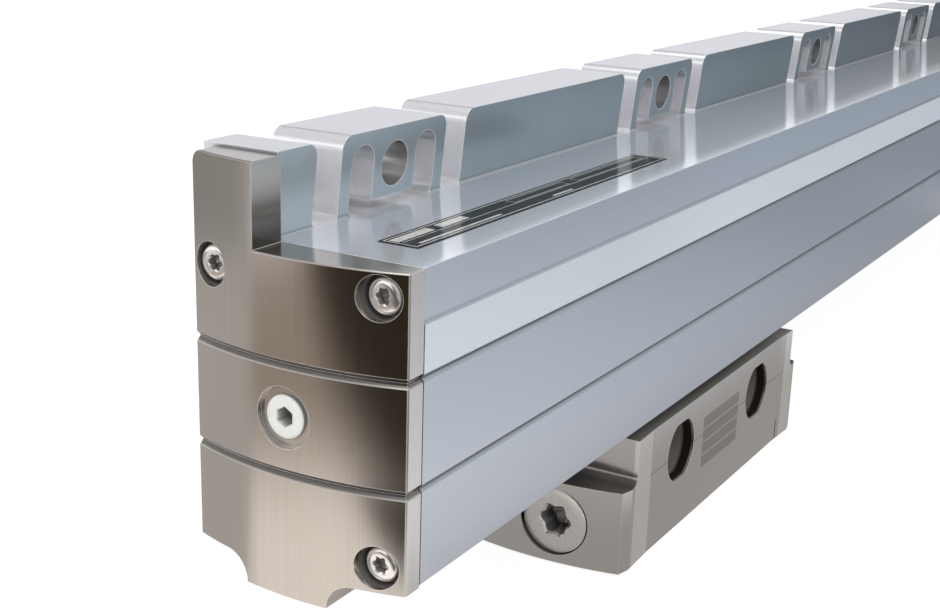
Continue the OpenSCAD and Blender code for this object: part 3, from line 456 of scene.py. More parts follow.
def anodised_extrusion(settings):
    low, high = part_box("scale_housing")
    f = Finish("anodised_extrusion", metallic=1.0, roughness=settings.roughness)
    x, y, z = f.axes(f.place)
    nx, ny, nz = f.axes(f.facing)
    # drawn lines of the extrusion run along its length
    lines = f.noise(f.stretched((6, 900, 900)), 1.0, 4, 0.65)
    fine = f.noise(f.stretched((25, 3800, 3800)), 1.0, 2, 0.6)
    cloud = f.noise(f.place, 14, 3)
    forward = f.span(ny, -0.5, -0.9)
    front = f.times(forward, f.below(y, low.y + 1.5 * MM))
    strip_z = DECK_Z - STRIP_FOOT * MM
    # painted light: the set-back strip and the band above the groove grow lighter further along
    strip = f.mix(f.span(x, -0.02, 0.11), settings.top_strip, settings.far_strip)
    colour = f.mix(f.times(front, f.above(z, strip_z)), settings.satin, strip)
    in_band = f.times(front, f.between(z, DECK_Z - GROOVES[0] * MM, strip_z, 0.05 * MM))
    band = f.mix(f.span(x, 0.02, 0.09), settings.light_band, settings.far_band)
    colour = f.mix(in_band, colour, band)
    at_deck = f.between(z, DECK_Z - 0.2 * MM, DECK_Z + 0.3 * MM, 0.05 * MM)
    level = f.times(f.span(nz, 0.6, 0.95), at_deck)
    on_deck = f.times(level, f.below(y, FLANGE_FRONT * MM))
    colour = f.mix(on_deck, colour, settings.deck)
    # painted shade: the flange's front is darker, and darker still along its length
    upright = f.times(forward, f.above(z, DECK_Z + 0.35 * MM))
    front_shade = f.mix(f.span(x, -22 * MM, 30 * MM), settings.flange_near, settings.flange)
    front_shade = f.mix(f.span(x, 0.03, 0.30, smooth=False), front_shade, settings.flange_far)
    colour = f.mix(upright, colour, front_shade)
    # milled faces: block ends, slots, bores and the sawn ends
    high_up = f.above(z, DECK_Z + 0.02 * MM)
    side = f.times(f.span(f.size_of(nx), 0.2, 0.6), high_up)
    in_slot = f.times(f.span(f.size_of(ny), 0.5, 0.2), high_up, f.below(z, high.z - 0.1 * MM))
    milled = f.largest(side, in_slot, f.less(level, on_deck))
    colour = f.mix(milled, colour, settings.machined)
    # painted shade on milled faces in inner corners
    corner = f.times(milled, f.occlusion_shade(5 * MM, 0.15, 0.75, 1.0, 0.0))
    colour = f.mix(corner, colour, settings.corner)
    # painted shade on milled faces that look down and on the bores' upper side, painted light along
    # the bores' bottom
    colour = f.mix(f.times(milled, f.span(nz, 0.1, -0.75)), colour, settings.arch)
    near_hole = f.below(f.math("PINGPONG", x, HOLE_PITCH / 2), HOLE_ZONE * MM)
    in_bore = f.times(near_hole, in_slot, f.between(z, -3.6 * MM, 3.6 * MM, 0.05 * MM))
    bore = f.mix(f.span(nz, -0.45, 0.55), settings.bore_top, settings.bore_foot)
    colour = f.mix(in_bore, colour, bore)
    colour = f.mix(f.span(lines, 0.3, 0.7), f.mix(0.03, colour, settings.drawn), colour)
    colour = f.mix(f.span(cloud, 0.3, 0.7, 0.0, 0.06), colour, settings.cloud)
    # painted shade in grooves, joints and inner corners
    colour = f.mix(f.occlusion_shade(0.7 * MM, 0.5, 0.93, 0.18), settings.seam, colour)
    # painted highlights along the upper edges, pale and partly matt
    wear_and_glint = f.times(f.edge_glints(0.3 * MM), f.above(z, DECK_Z - 0.5 * MM))
    f.set(base_color=f.mix(wear_and_glint, colour, settings.wear_and_glint))
    matt = f.largest(f.times(in_band, 0.5), f.times(milled, 0.32))
    matt = f.largest(matt, f.times(on_deck, f.span(x, 0.0, 0.10, 0.38, 0.42)))
    matt = f.largest(f.less(matt, f.times(in_bore, 0.22)), f.times(wear_and_glint, 0.55))
    f.set(metallic=f.less(1.0, matt))
    rough = f.blend_numbers(on_deck, settings.roughness, settings.deck_roughness)
    rough = f.blend_numbers(milled, rough, settings.milled_roughness)
    f.set(roughness=f.math("ADD", rough, f.span(lines, 0.2, 0.8, -0.02, 0.03)))
    cutter = f.noise(f.stretched((60, 2600, 300)), 1.0, 2)
    drawn = f.math("ADD", f.times(lines, 0.6), f.times(fine, 0.4))
    height = f.times(f.blend_numbers(milled, drawn, cutter), f.less(1.0, f.times(on_deck, 0.85)))
    f.relief(height, 0.006 * MM, 0.25, settings.edge)
    return f.material


def nickel_plating(settings, name, brushing):
    """Brushed nickel: fine upright lines on the sides, lines along X on level faces."""
    f = Finish(name, metallic=1.0, roughness=settings.roughness)
    _, y, z = f.axes(f.place)
    _, ny, nz = f.axes(f.facing)
    lines = brushed_lines(f, nz)
    colour = f.mix(f.span(lines, 0.3, 0.64, 1.0 - brushing, 1.0), settings.shade, settings.plate)
    clouds = f.span(f.noise(f.place, 60, 3), 0.3, 0.75, 0.0, 0.14)
    colour = f.mix(clouds, colour, settings.cloud)
    # painted shade on the grooves' slopes and along their roots
    for groove in GROOVES:
        level = DECK_Z - groove * MM
        slopes = f.between(z, level - 0.55 * MM, level + 0.62 * MM, 0.1 * MM)
        slopes = f.times(slopes, f.span(f.size_of(nz), 0.15, 0.35), 0.6)
        root = f.times(f.between(z, level - 0.12 * MM, level + 0.3 * MM, 0.12 * MM), 0.85)
        colour = f.mix(f.largest(slopes, root), colour, settings.crease_shade)
    # painted shade: the leg's inner side darkens towards the deck
    foot = f.times(f.span(z, DECK_Z + 11 * MM, DECK_Z), f.above(z, DECK_Z + 0.05 * MM))
    inner = f.times(f.span(ny, -0.6, -0.9), f.above(y, -20 * MM))
    colour = f.mix(f.times(foot, inner, 0.9), colour, settings.crease_shade)
    # the leg's level top is painted darker
    crown = f.times(f.span(nz, 0.5, 0.8), f.above(z, DECK_Z + 6 * MM), 0.8)
    colour = f.mix(crown, colour, settings.leg_top_dark)
    # painted shade in creases and recesses
    colour = f.mix(f.occlusion_shade(0.8 * MM, 0.4, 0.95, 0.5), settings.crease_shade, colour)
    # painted highlights along the edges, pale, warm and partly matt
    wear_and_glint = f.times(f.edge_glints(0.2 * MM), 0.75)
    f.set(base_color=f.mix(wear_and_glint, colour, settings.wear_and_glint))
    unglinted = f.less(1.0, f.times(wear_and_glint, 0.5))
    f.set(metallic=f.math("MINIMUM", f.occlusion_shade(3 * MM, 0.3, 0.7, 0.6), unglinted))
    rough = settings.roughness
    f.set(roughness=f.span(lines, 0.25, 0.75, rough + 0.04 * brushing, rough - 0.03 * brushing))
    f.relief(lines, 0.02 * MM, 0.5 * brushing, settings.edge)
    return f.material


def brushed_lines(f, nz):
    fine = f.noise(f.stretched((3400, 3400, 30)), 1.0, 3, 0.6)
    coarse = f.noise(f.stretched((800, 800, 7)), 1.0, 2)
    upright = f.math("ADD", f.times(fine, 0.7), f.times(coarse, 0.3))
    along = f.noise(f.stretched((30, 2200, 30)), 1.0, 3, 0.6)
    return f.blend_numbers(f.span(f.size_of(nz), 0.6, 0.8), upright, along)


def satin_unit_plating(settings):
    """Satin nickel of the scanning unit, with its marks, matt ledges, deep screw slots and painted
    shade and highlights.
    """
    f = Finish("satin_nickel", metallic=1.0, roughness=settings.roughness)
    low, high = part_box("mounting_block")
    x, y, z = f.axes(f.place)
    nz = f.axes(f.facing)[2]
    centre = (low.x + high.x) / 2

    def patch(x0, x1, z0, z1, blur=0.04 * MM):
        across = f.between(x, centre + x0 * MM, centre + x1 * MM, blur)
        return f.times(across, f.between(z, low.z + z0 * MM, low.z + z1 * MM, blur))

    lines = f.noise(f.stretched((1500, 1500, 40)), 1.0, 3, 0.5)
    clouds = f.span(f.noise(f.place, 45, 3), 0.3, 0.75, 0.0, 0.16)
    colour = f.mix(f.span(lines, 0.3, 0.7, 0.9, 1.0), settings.shade, settings.unit)
    colour = f.mix(clouds, colour, settings.unit_cloud)
    face = f.below(y, low.y + 0.9 * MM)
    ends = f.largest(*(patch(*end, 0.25 * MM) for end in PALE_ENDS))
    colour = f.mix(f.times(ends, face, 0.95), colour, settings.unit_ends)
    # scribed centre line, a short dark upright line at the foot and a blank field of rows
    marks = f.largest(f.times(patch(*SCRIBED_LINE), 0.7), patch(*SHORT_DARK_LINE))
    pitch = (FIELD_Z[1] - FIELD_Z[0]) / FIELD_ROWS
    for count in range(FIELD_ROWS):
        foot = FIELD_Z[0] + count * pitch
        row = patch(*FIELD_X, foot + ROW_GAP, foot + pitch - ROW_GAP)
        marks = f.largest(marks, f.times(row, 0.5))
    colour = f.mix(f.times(marks, face), colour, settings.marking)
    # level faces are milled and matt, and painted darker with shade; the slots are left rough, with
    # painted shade in them
    flat = f.span(f.size_of(nz), 0.12, 0.5)
    slot = f.less(f.times(patch(*SCREW_SLOTS), f.below(y, low.y + 12 * MM)), face)
    colour = f.mix(flat, colour, settings.unit_level)
    # painted shade on the ledges
    ledge = f.between(z, low.z + LEDGE_Z[0] * MM, low.z + LEDGE_Z[1] * MM, 0.2 * MM)
    ledge = f.times(ledge, f.span(nz, 0.02, 0.3), 0.62)
    colour = f.mix(ledge, colour, settings.crease_shade)
    # painted shade at a slot's mouth, and a painted dim reflection deeper in
    inward = f.span(y, low.y + 2.4 * MM, low.y + 3.2 * MM)
    colour = f.mix(slot, colour, f.mix(inward, settings.slot_mouth, settings.slot_wall))
    # painted shade in creases and recesses
    colour = f.mix(f.occlusion_shade(0.8 * MM, 0.4, 0.95, 0.5), settings.crease_shade, colour)
    # painted highlights along the edges
    f.set(base_color=f.mix(f.edge_glints(0.25 * MM), colour, settings.unit_edge_glint))
    rough = settings.roughness
    satin = f.span(lines, 0.25, 0.75, rough + 0.03, rough - 0.02)
    f.set(roughness=f.largest(f.times(flat, 0.42), f.times(slot, 0.5), satin))
    f.set(metallic=f.less(1.0, f.largest(f.times(flat, 0.4), f.times(slot, 0.6))))
    f.relief(lines, 0.008 * MM, 0.15, settings.edge)
    return f.material


def bright_steel(
    name, colour, roughness=0.2, edge=0.1 * MM, depth=1.4 * MM, matt=0.0, open_at=0.62
):
    """Bright metal with fine marks, and painted shade in recesses less open than open_at."""
    f = Finish(name, roughness=roughness)
    marks = f.noise(f.place, 1400, 4, 0.6)
    metal = f.mix(f.span(marks, 0.3, 0.7), toned(colour, 0.94), colour)
    recess = f.occlusion_shade(depth, 0.4 * open_at, open_at, 0.05)
    f.set(base_color=f.mix(recess, toned(colour, 0.08), metal))
    f.set(metallic=f.occlusion_shade(depth, 0.3 * open_at, open_at, 0.4, 1.0 - matt))
    f.set(roughness=f.span(marks, 0.2, 0.8, roughness - 0.03, roughness + 0.06))
    f.relief(marks, 0.003 * MM, 0.15, edge)
    return f.material


def moulded(name, colour, roughness, grain, edge=0.12 * MM, shade=1.0 * MM):
    """Moulded or coated part with a fine grain and shade in its recesses."""
    f = Finish(name, roughness=roughness)
    grains = f.noise(f.place, grain, 3)
    mottled = f.mix(f.span(grains, 0.3, 0.7), toned(colour, 0.93), colour)
    f.set(base_color=f.mix(f.occlusion_shade(shade, 0.35, 0.85, 0.3), toned(colour, 0.2), mottled))
    f.set(roughness=f.span(grains, 0.2, 0.8, roughness - 0.05, roughness + 0.06))
    f.relief(grains, 0.012 * MM, 0.4, edge)
    return f.material


def optical_glass(name, colour):
    f = Finish(name, roughness=0.02, transmission_weight=0.92, ior=1.52)
    haze = f.noise(f.place, 220, 2)
    f.set(base_color=f.mix(f.span(haze, 0.4, 0.7), colour, toned(colour, 1.05)))
    f.set(roughness=f.span(haze, 0.3, 0.8, 0.01, 0.05))
    return f.material


def type_plate_film(settings):
    """Black film with a pale frame and blank fields, and no lettering."""
    low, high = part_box("type_plate")
    f = Finish("type_plate_film", roughness=0.12, specular_ior_level=0.3)
    x, y = f.axes(f.place)[:2]
    grain = f.noise(f.place, 1500, 2)
    middle = (low.y + high.y) / 2
    length = high.x - low.x

    def block(x0, x1, y0, y1, soft=0.02 * MM):
        return f.times(f.between(x, x0, x1, soft), f.between(y, y0, y1, soft))

    def frame_line(x0, x1, y0, y1, width):
        inner = block(x0 + width, x1 - width, y0 + width, y1 - width)
        return f.less(block(x0, x1, y0, y1), inner)

    def along(start, end):
        return low.x + start * length, low.x + end * length

    inset = 0.45 * MM
    lines = frame_line(low.x + inset, high.x - inset, low.y + inset, high.y - inset, 0.22 * MM)
    for ends in PLATE_FRAMES:
        field = frame_line(*along(*ends), middle + 0.35 * MM, high.y - 1.1 * MM, 0.14 * MM)
        lines = f.largest(lines, field)
    rule = block(low.x + 1.2 * MM, high.x - 1.2 * MM, middle - 0.07 * MM, middle + 0.07 * MM)
    lines = f.largest(lines, rule)
    for start, end, upper in PLATE_BLOCKS:
        foot, tall = (middle + 0.55 * MM, 1.7 * MM) if upper else (low.y + 1.1 * MM, 0.5 * MM)
        lines = f.largest(lines, block(*along(start, end), foot, foot + tall, 0.03 * MM))
    wear_and_glint = f.times(lines, f.span(grain, 0.3, 0.55, 0.75, 1.0))
    f.set(base_color=f.mix(wear_and_glint, settings.film, settings.print))
    f.set(roughness=f.span(grain, 0.2, 0.8, 0.1, 0.15))
    f.relief(grain, 0.006 * MM, 0.3, 0.05 * MM)
    return f.material


# ------------------------------------------------------------------ small turned parts


def finish_piece(name, bm, material, body, replaced):
    """Turns a finished bmesh into a piece that rides on a body."""
    bmesh.ops.remove_doubles(bm, verts=bm.verts, dist=MERGE_DISTANCE)
    bmesh.ops.recalc_face_normals(bm, faces=bm.faces)
    mesh = bpy.data.meshes.new(name)
    bm.to_mesh(mesh)
    bm.free()
    mesh.materials.append(material)
    mesh.shade_smooth()
    mesh.set_sharp_from_angle(angle=SHARP_ANGLE)
    piece = bpy.data.objects.new(name, mesh)
    bpy.context.scene.collection.objects.link(piece)
    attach(piece, body)
    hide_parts(*replaced)


def ring_radius(kind, radius, turn, lobes):
    """Radius of a ring at an angle: round, six-lobed or hexagonal (radius over the flats)."""
    if kind == "lobed":
        return radius * (1 + lobes * cos(6 * turn))
    if kind == "hex":
        return radius / cos((turn + pi / 6) % (pi / 3) - pi / 6)
    return radius


def turned(bm, rings, facets, centre, inward, lobes=0.13):
    """Closed turned part along X from rings of (radius, depth, kind), socket floor first."""
    made = bmesh.ops.create_circle(bm, cap_ends=True, cap_tris=True, segments=facets, radius=1)
    verts = [v for v in made["verts"] if v.co.length > 0.5]
    middle = [v for v in made["verts"] if v.co.length <= 0.5]
    for v in verts:
        v.tag = True
    edges = [e for e in bm.edges if e.verts[0].tag and e.verts[1].tag]
    ring = [(v, atan2(v.co.y, v.co.x)) for v in verts]

    def spot(v):
        return tuple(round(part, 9) for part in v.co)

    def place(depth, across, up):
        return Vector((centre[0] + inward * depth, centre[1] + across, centre[2] + up))

    def settle(ring, radius, depth, kind):
        for v, turn in ring:
            size = ring_radius(kind, radius, turn, lobes)
            v.co = place(depth, size * cos(turn), size * sin(turn))

    settle(ring, *rings[0])
    for v in middle:
        v.co = place(rings[0][1], 0, 0)
    for v in bm.verts:
        v.tag = False
    for outline in rings[1:]:
        grown = bmesh.ops.extrude_edge_only(bm, edges=edges)["geom"]
        edges = [g for g in grown if isinstance(g, bmesh.types.BMEdge)]
        fresh = [g for g in grown if isinstance(g, bmesh.types.BMVert)]
        old = {spot(v): turn for v, turn in ring}
        ring = [(v, old[spot(v)]) for v in fresh]
        rim = set(fresh)
        edges = [e for e in edges if e.verts[0] in rim and e.verts[1] in rim]
        settle(ring, *outline)
    bmesh.ops.contextual_create(bm, geom=edges)


def metres(rings):
    return [(radius * MM, depth * MM, kind) for radius, depth, kind in rings]


def cap_screw_rings(length):
    """Low button-edged head with a six-lobed socket, on a thread-sized shank."""
    tip = length / MM
    return metres((
        (0.35, 1.65, "round"), (0.95, 1.45, "lobed"), (1.08, 1.4, "lobed"), (1.1, 0.16, "lobed"),
        (1.26, 0.0, "lobed"), (1.55, 0.0, "round"), (1.95, 0.04, "round"), (2.3, 0.17, "round"),
        (2.58, 0.42, "round"), (2.75, 0.8, "round"), (SCREW_HEAD, 1.2, "round"),
        (SCREW_HEAD, 2.3, "round"), (2.7, 2.4, "round"), (1.5, 2.4, "round"),
        (1.5, tip - 0.5, "round"), (1.1, tip, "round"),
    ))


def air_plug_rings(length):
    """Flat flanged head with a hexagon socket, on a plain shank."""
    tip = length / MM
    return metres((
        (1.18, 2.6, "hex"), (1.25, 0.2, "hex"), (1.38, 0.0, "hex"), (1.75, 0.0, "round"),
        (2.75, 0.0, "round"), (3.0, 0.06, "round"), (3.16, 0.2, "round"), (3.2, 0.36, "round"),
        (3.2, 0.6, "round"), (2.5, 0.6, "round"), (2.5, tip - 0.4, "round"), (2.2, tip, "round"),
    ))


def port_plug_rings(length, radius):
    """Wide head with a deep lobed socket, on a plain shank."""
    tip = length / MM
    rim = radius / MM
    return metres((
        (0.7, 5.5, "round"), (2.1, 4.9, "lobed"), (2.6, 4.7, "lobed"), (2.7, 0.45, "lobed"),
        (3.1, 0.0, "lobed"), (4.0, 0.0, "round"), (rim - 0.28, 0.0, "round"),
        (rim - 0.06, 0.1, "round"), (rim, 0.3, "round"), (rim, 1.65, "round"),
        (5.0, 1.65, "round"), (5.0, tip - 0.6, "round"), (4.5, tip, "round"),
    ))


# ------------------------------------------------------------------ studio


def studio_surroundings(settings):
    """White behind the object, even light for matt surfaces and soft panels for gloss."""
    world = bpy.data.worlds.new("studio_surroundings")
    bpy.context.scene.world = world
    t = Nodes(world)
    along, across, up = t.axes(t.add("ShaderNodeTexCoord").outputs["Generated"])
    along = t.size_of(along)
    behind = t.span(across, -0.12, 0.25)
    level = t.mix(behind, t.mix(t.span(up, 0.12, 0.36), PANEL_FOOT, PANEL), BACK_LOW)
    low_end = t.times(t.span(along, 0.90, 0.97), t.span(across, 0.30, 0.1))
    level = t.mix(low_end, level, DARK_END)
    colour = t.mix(t.span(up, 0.34, 0.55), level, t.mix(behind, PANEL, BACK_HIGH))
    colour = t.mix(t.span(up, 0.87, 0.95), colour, CEILING)
    gloss = t.after("ShaderNodeBackground", colour)
    even = t.add("ShaderNodeBackground")
    t.feed(even.inputs[0], WHITE)
    t.feed(even.inputs[1], settings.sky)
    white = t.add("ShaderNodeBackground")
    t.feed(white.inputs[0], WHITE)
    path = t.add("ShaderNodeLightPath")
    seen = t.largest(path.outputs["Is Camera Ray"], path.outputs["Is Transmission Ray"])
    shown = t.choose(path.outputs["Is Glossy Ray"], even.outputs[0], gloss.outputs[0])
    shown = t.choose(seen, shown, white.outputs[0])
    t.join(shown, t.add("ShaderNodeOutputWorld").inputs[0])


def mirrored_ground(t, along, across, middle):
    """Painted reflections and painted shadow that the glowing floor shows to gloss, by place; both
    ends of the object share them.
    """
    folded = t.math("SUBTRACT", middle, t.size_of(t.math("SUBTRACT", along, middle)))

    def offsets(x, y):
        return t.math("SUBTRACT", folded, x * MM), t.math("SUBTRACT", across, y * MM)

    def beyond(x, y, nx, ny):
        """Distance past a line through (x, y) on the side that (nx, ny) points to."""
        dx, dy = offsets(x, y)
        return t.math("ADD", t.times(dx, nx), t.times(dy, ny))

    def away(x, y):
        dx, dy = (t.math("POWER", offset, 2.0) for offset in offsets(x, y))
        return t.math("SQRT", t.math("ADD", dx, dy))

    from_cap = away(*CAP_FOOT)
    # painted shadow: the floor along the object's length is darker
    ground = t.mix(t.span(folded, -0.02, 0.03), REAR_OUTER, REAR_INNER)
    ground = t.mix(t.span(from_cap, 0.25, 0.33), ground, REAR_FAR)
    ground = t.mix(t.span(from_cap, 0.33, 0.45), ground, REAR_FARTHEST)
    beside = t.span(beyond(*BESIDE_LINE), 25 * MM, -5 * MM)
    ground = t.mix(t.times(t.span(from_cap, 0.385, 0.50), beside), ground, REAR_WHITE)
    warm = t.mix(t.span(from_cap, 0.15, 0.06), END_DULL, END_CLOSE)
    warm = t.mix(t.span(from_cap, 0.24, 0.34), warm, END_FAR)
    at_end = t.span(beyond(*END_LINE), -4 * MM, 6 * MM)
    colour = t.mix(at_end, ground, warm)
    # painted shade in a dark corner outside the cap, and a painted pale reflection in front
    past = beyond(*CORNER_LINE)
    close = t.times(t.span(past, 2 * MM, 17 * MM), t.span(folded, -0.137, -0.122))
    shade = t.largest(t.span(past, -8 * MM, 52 * MM), close)
    colour = t.mix(shade, colour, t.mix(t.span(across, -0.10, -0.19), SHADE_DEEP, SHADE_FRONT))
    front_reflection = t.mix(t.span(along, 0.0, 0.44), FRONT_NEAR, FRONT_FAR)
    patch = t.times(t.span(across, -0.135, -0.095), t.span(along, 0.14, 0.02))
    front_reflection = t.mix(patch, front_reflection, FRONT_PATCH)
    outer = t.mix(t.span(along, 0.22, 0.46), OUTER_NEAR, OUTER_FAR)
    outer = t.mix(t.span(along, 0.5, 1.5), outer, OUTER_LAST)
    front_reflection = t.mix(t.span(across, -0.165, -0.24), front_reflection, outer)
    front = t.times(t.span(across, -0.052, -0.08), t.span(along, -0.11, -0.05))
    return t.mix(front, colour, front_reflection)


def pale_floor(settings):
    """Pale floor: white to the camera with the object's shadow; to gloss it glows with painted
    reflections and painted shadow.
    """
    low, high = CAD_BOX
    middle = (low[0] + high[0]) / 2
    bm = bmesh.new()
    bmesh.ops.create_grid(bm, x_segments=2, y_segments=2, size=settings.floor_size / 2)
    bmesh.ops.translate(bm, verts=bm.verts, vec=(middle, 0, low[2] - settings.floor_gap))
    mesh = bpy.data.meshes.new("pale_floor")
    bm.to_mesh(mesh)
    bm.free()
    floor = bpy.data.objects.new("pale_floor", mesh)
    bpy.context.scene.collection.objects.link(floor)
    material = bpy.data.materials.new("pale_floor")
    t = Nodes(material)
    along, across = t.axes(t.add("ShaderNodeTexCoord").outputs["Object"])[:2]
    gloss = t.after("ShaderNodeEmission", mirrored_ground(t, along, across, middle))
    matt = t.add("ShaderNodeBsdfDiffuse")
    t.feed(matt.inputs[0], settings.pale)
    faint = t.add("ShaderNodeBsdfDiffuse")
    t.feed(faint.inputs[0], FLOOR_SHADOW)
    glow = t.add("ShaderNodeEmission")
    t.feed(glow.inputs[1], FLOOR_GLOW)
    white = t.after("ShaderNodeAddShader", faint.outputs[0])
    t.join(glow.outputs[0], white.inputs[1])
    path = t.add("ShaderNodeLightPath")
    shown = t.choose(path.outputs["Is Glossy Ray"], matt.outputs[0], gloss.outputs[0])
    shown = t.choose(path.outputs["Is Camera Ray"], shown, white.outputs[0])
    t.join(shown, t.add("ShaderNodeOutputMaterial").inputs[0])
    mesh.materials.append(material)


def softbox(name, place, aim, size, power):
    light = bpy.data.lights.new(name, "AREA")
    light.shape = "RECTANGLE"
    light.size, light.size_y = size
    light.energy = power
    lamp = bpy.data.objects.new(name, light)
    bpy.context.scene.collection.objects.link(lamp)
    lamp.location = place
    lamp.rotation_euler = (Vector(aim) - Vector(place)).to_track_quat("-Z", "Y").to_euler()
    lamp.visible_glossy = False


def studio_camera(settings):
    data = bpy.data.cameras.new("studio_camera")
    data.sensor_width = SENSOR_WIDTH
    data.lens = settings.lens
    data.clip_start, data.clip_end = CAMERA_CLIP
    camera = bpy.data.objects.new("studio_camera", data)
    camera.location = settings.camera_place
    camera.rotation_euler = settings.camera_turn
    bpy.context.scene.collection.objects.link(camera)
    bpy.context.scene.camera = camera


# ------------------------------------------------------------------ operators


class GLASS_SCALE_OT_stage(bpy.types.Operator):
    """Set up the floor, surroundings, lamps and camera"""

    bl_idname = "glass_scale.stage"
    bl_label = "Stage"

    def execute(self, context):
        settings = context.scene.glass_scale_studio
        studio_camera(settings)
        studio_surroundings(settings)
        pale_floor(settings)
        for lamp in SOFTBOXES:
            softbox(*lamp)
        context.scene.view_settings.view_transform = "Standard"
        return {"FINISHED"}


class GLASS_SCALE_OT_housing(bpy.types.Operator):
    """Finish the anodised housing and its flange"""

    bl_idname = "glass_scale.housing"
    bl_label = "Housing finish"

    def execute(self, context):
        dress(anodised_extrusion(context.scene.glass_scale_housing), "scale_housing")
        return {"FINISHED"}


class GLASS_SCALE_OT_plated(bpy.types.Operator):
    """Finish the nickel-plated caps and the mounting block"""

    bl_idname = "glass_scale.plated"
    bl_label = "Nickel plating"

    def execute(self, context):
        settings = context.scene.glass_scale_plated
        dress(nickel_plating(settings, "brushed_nickel", 0.4), "end_cap_near", "end_cap_far")
        dress(satin_unit_plating(settings), "mounting_block")
        dress(nickel_plating(settings, "plain_nickel", 0.3), "block_lid", "rod_clamp", "port_plug")
        return {"FINISHED"}


class GLASS_SCALE_OT_steel(bpy.types.Operator):
    """Finish the screws, axles, rollers, blade and spring rod"""

    bl_idname = "glass_scale.steel"
    bl_label = "Steel parts"

    def execute(self, context):
        small = context.scene.glass_scale_small
        dress(bright_steel("bright_screw_steel", small.steel), *SCREW_SETS)
        for name, colour, roughness, nodes in METALS:
            dress(bright_steel(name, colour, roughness), *nodes)
        return {"FINISHED"}


class GLASS_SCALE_OT_plastics(bpy.types.Operator):
    """Finish the plugs, seals, boards and the type plate"""

    bl_idname = "glass_scale.plastics"
    bl_label = "Plastics and seals"

    def execute(self, context):
        small = context.scene.glass_scale_small
        dress(moulded("plug_plastic", small.plastic, 0.35, 700), "air_plug_near", "air_plug_far")
        for name, colour, roughness, grain, nodes in MOULDINGS:
            dress(moulded(name, colour, roughness, grain), *nodes)
        dress(type_plate_film(small), "type_plate")
        return {"FINISHED"}


class GLASS_SCALE_OT_glass(bpy.types.Operator):
    """Finish the glass scale, the lens and the scanning grid"""

    bl_idname = "glass_scale.glass"
    bl_label = "Optical glass"

    def execute(self, context):
        glass = optical_glass("optical_glass", context.scene.glass_scale_small.glass)
        dress(glass, "glass_scale", "lamp_lens", "scanning_grid")
        return {"FINISHED"}


class GLASS_SCALE_OT_cap_screws(bpy.types.Operator):
    """Make the six-lobed screws of both end caps"""

    bl_idname = "glass_scale.cap_screws"
    bl_label = "Cap screws"

    def execute(self, context):
        small = context.scene.glass_scale_small
        material = bright_steel(
            "turned_screw_steel", small.turned, 0.16, edge=None, depth=2 * MM, matt=0.08
        )
        for end, inward in ((NEAR, 1), (FAR, -1)):
            low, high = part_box("cap_screws_" + end)
            face = low.x if inward > 0 else high.x
            r = SCREW_HEAD * MM
            bm = bmesh.new()
            for y, z in ((low.y + r, high.z - r), (low.y + r, low.z + r), (high.y - r, high.z - r)):
                turned(bm, cap_screw_rings(high.x - low.x), small.facets, (face, y, z), inward)
            replaced = ["cap_screws_" + end]
            finish_piece("cap_screw_set_" + end, bm, material, "scale_unit", replaced)
        return {"FINISHED"}


class GLASS_SCALE_OT_air_plugs(bpy.types.Operator):
    """Make the white plugs of the air ports"""

    bl_idname = "glass_scale.air_plugs"
    bl_label = "Air plugs"

    def execute(self, context):
        small = context.scene.glass_scale_small
        material = moulded(
            "white_plug_plastic", small.plastic, 0.33, 700, edge=None, shade=3.5 * MM
        )
        for end, inward in ((NEAR, 1), (FAR, -1)):
            low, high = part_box("air_plug_" + end)
            face = low.x if inward > 0 else high.x
            centre = (face, (low.y + high.y) / 2, (low.z + high.z) / 2)
            bm = bmesh.new()
            turned(bm, air_plug_rings(high.x - low.x), small.facets, centre, inward)
            replaced = ["air_plug_" + end]
            finish_piece(
                "air_port_plug_" + end, bm, material, "scale_unit", replaced
            )
        return {"FINISHED"}


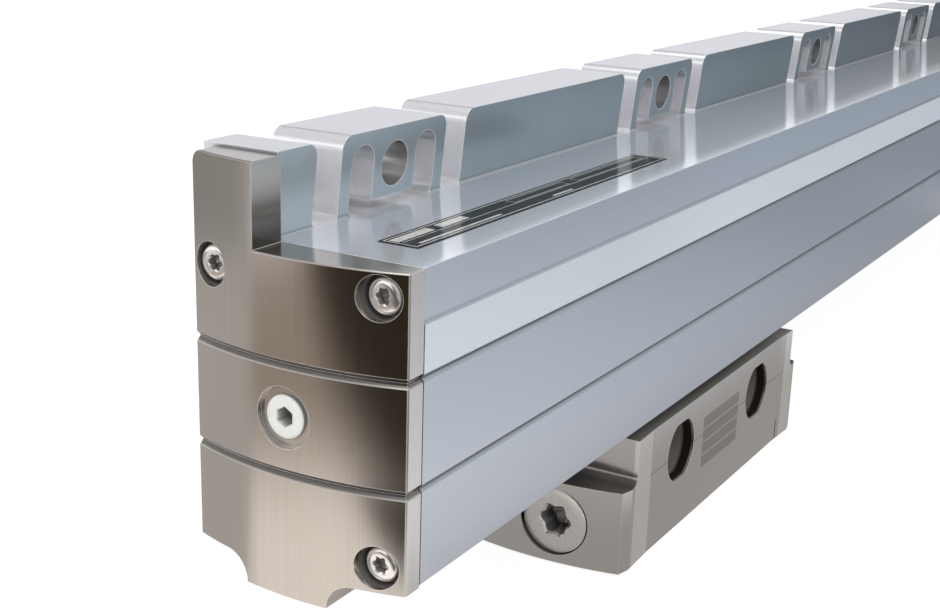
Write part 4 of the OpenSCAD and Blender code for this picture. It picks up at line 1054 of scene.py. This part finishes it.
class GLASS_SCALE_OT_port_plug(bpy.types.Operator):
    """Make the blind plug of the scanning unit's near port"""

    bl_idname = "glass_scale.port_plug"
    bl_label = "Port plug"

    def execute(self, context):
        small = context.scene.glass_scale_small
        low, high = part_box("port_plug")
        rings = port_plug_rings(high.x - low.x, (high.y - low.y) / 2)
        centre = (low.x, (low.y + high.y) / 2, (low.z + high.z) / 2)
        bm = bmesh.new()
        turned(bm, rings, small.facets, centre, inward=1, lobes=0.11)
        material = bright_steel(
            "turned_nickel", small.nickel, edge=None, depth=4 * MM, matt=0.1, open_at=0.95
        )
        finish_piece("blind_port_plug", bm, material, "scanning_unit", ["port_plug"])
        return {"FINISHED"}


OPERATORS = (
    GLASS_SCALE_OT_stage,
    GLASS_SCALE_OT_housing,
    GLASS_SCALE_OT_plated,
    GLASS_SCALE_OT_steel,
    GLASS_SCALE_OT_plastics,
    GLASS_SCALE_OT_glass,
    GLASS_SCALE_OT_cap_screws,
    GLASS_SCALE_OT_air_plugs,
    GLASS_SCALE_OT_port_plug,
)
SETTINGS = {
    "glass_scale_housing": HousingFinish,
    "glass_scale_plated": PlatedFinish,
    "glass_scale_small": SmallParts,
    "glass_scale_studio": StudioSettings,
}


class GLASS_SCALE_PT_panel(bpy.types.Panel):
    """Builds the finishes, the small parts and the stage"""

    bl_label = "Linear glass scale"
    bl_space_type = "VIEW_3D"
    bl_region_type = "UI"
    bl_category = "Glass Scale"

    def draw(self, context):
        for operator in OPERATORS:
            self.layout.operator(operator.bl_idname)
        for name, kind in SETTINGS.items():
            box = self.layout.box()
            for item in kind.__annotations__:
                box.prop(getattr(context.scene, name), item)


def register():
    for kind in (*SETTINGS.values(), *OPERATORS, GLASS_SCALE_PT_panel):
        bpy.utils.register_class(kind)
    for name, kind in SETTINGS.items():
        setattr(bpy.types.Scene, name, bpy.props.PointerProperty(type=kind))


def unregister():
    for name in SETTINGS:
        delattr(bpy.types.Scene, name)
    for kind in reversed((*SETTINGS.values(), *OPERATORS, GLASS_SCALE_PT_panel)):
        bpy.utils.unregister_class(kind)


def main():
    register()
    for operator in OPERATORS:
        group, name = operator.bl_idname.split(".")
        getattr(getattr(bpy.ops, group), name)()


if __name__ == "__main__":
    main()
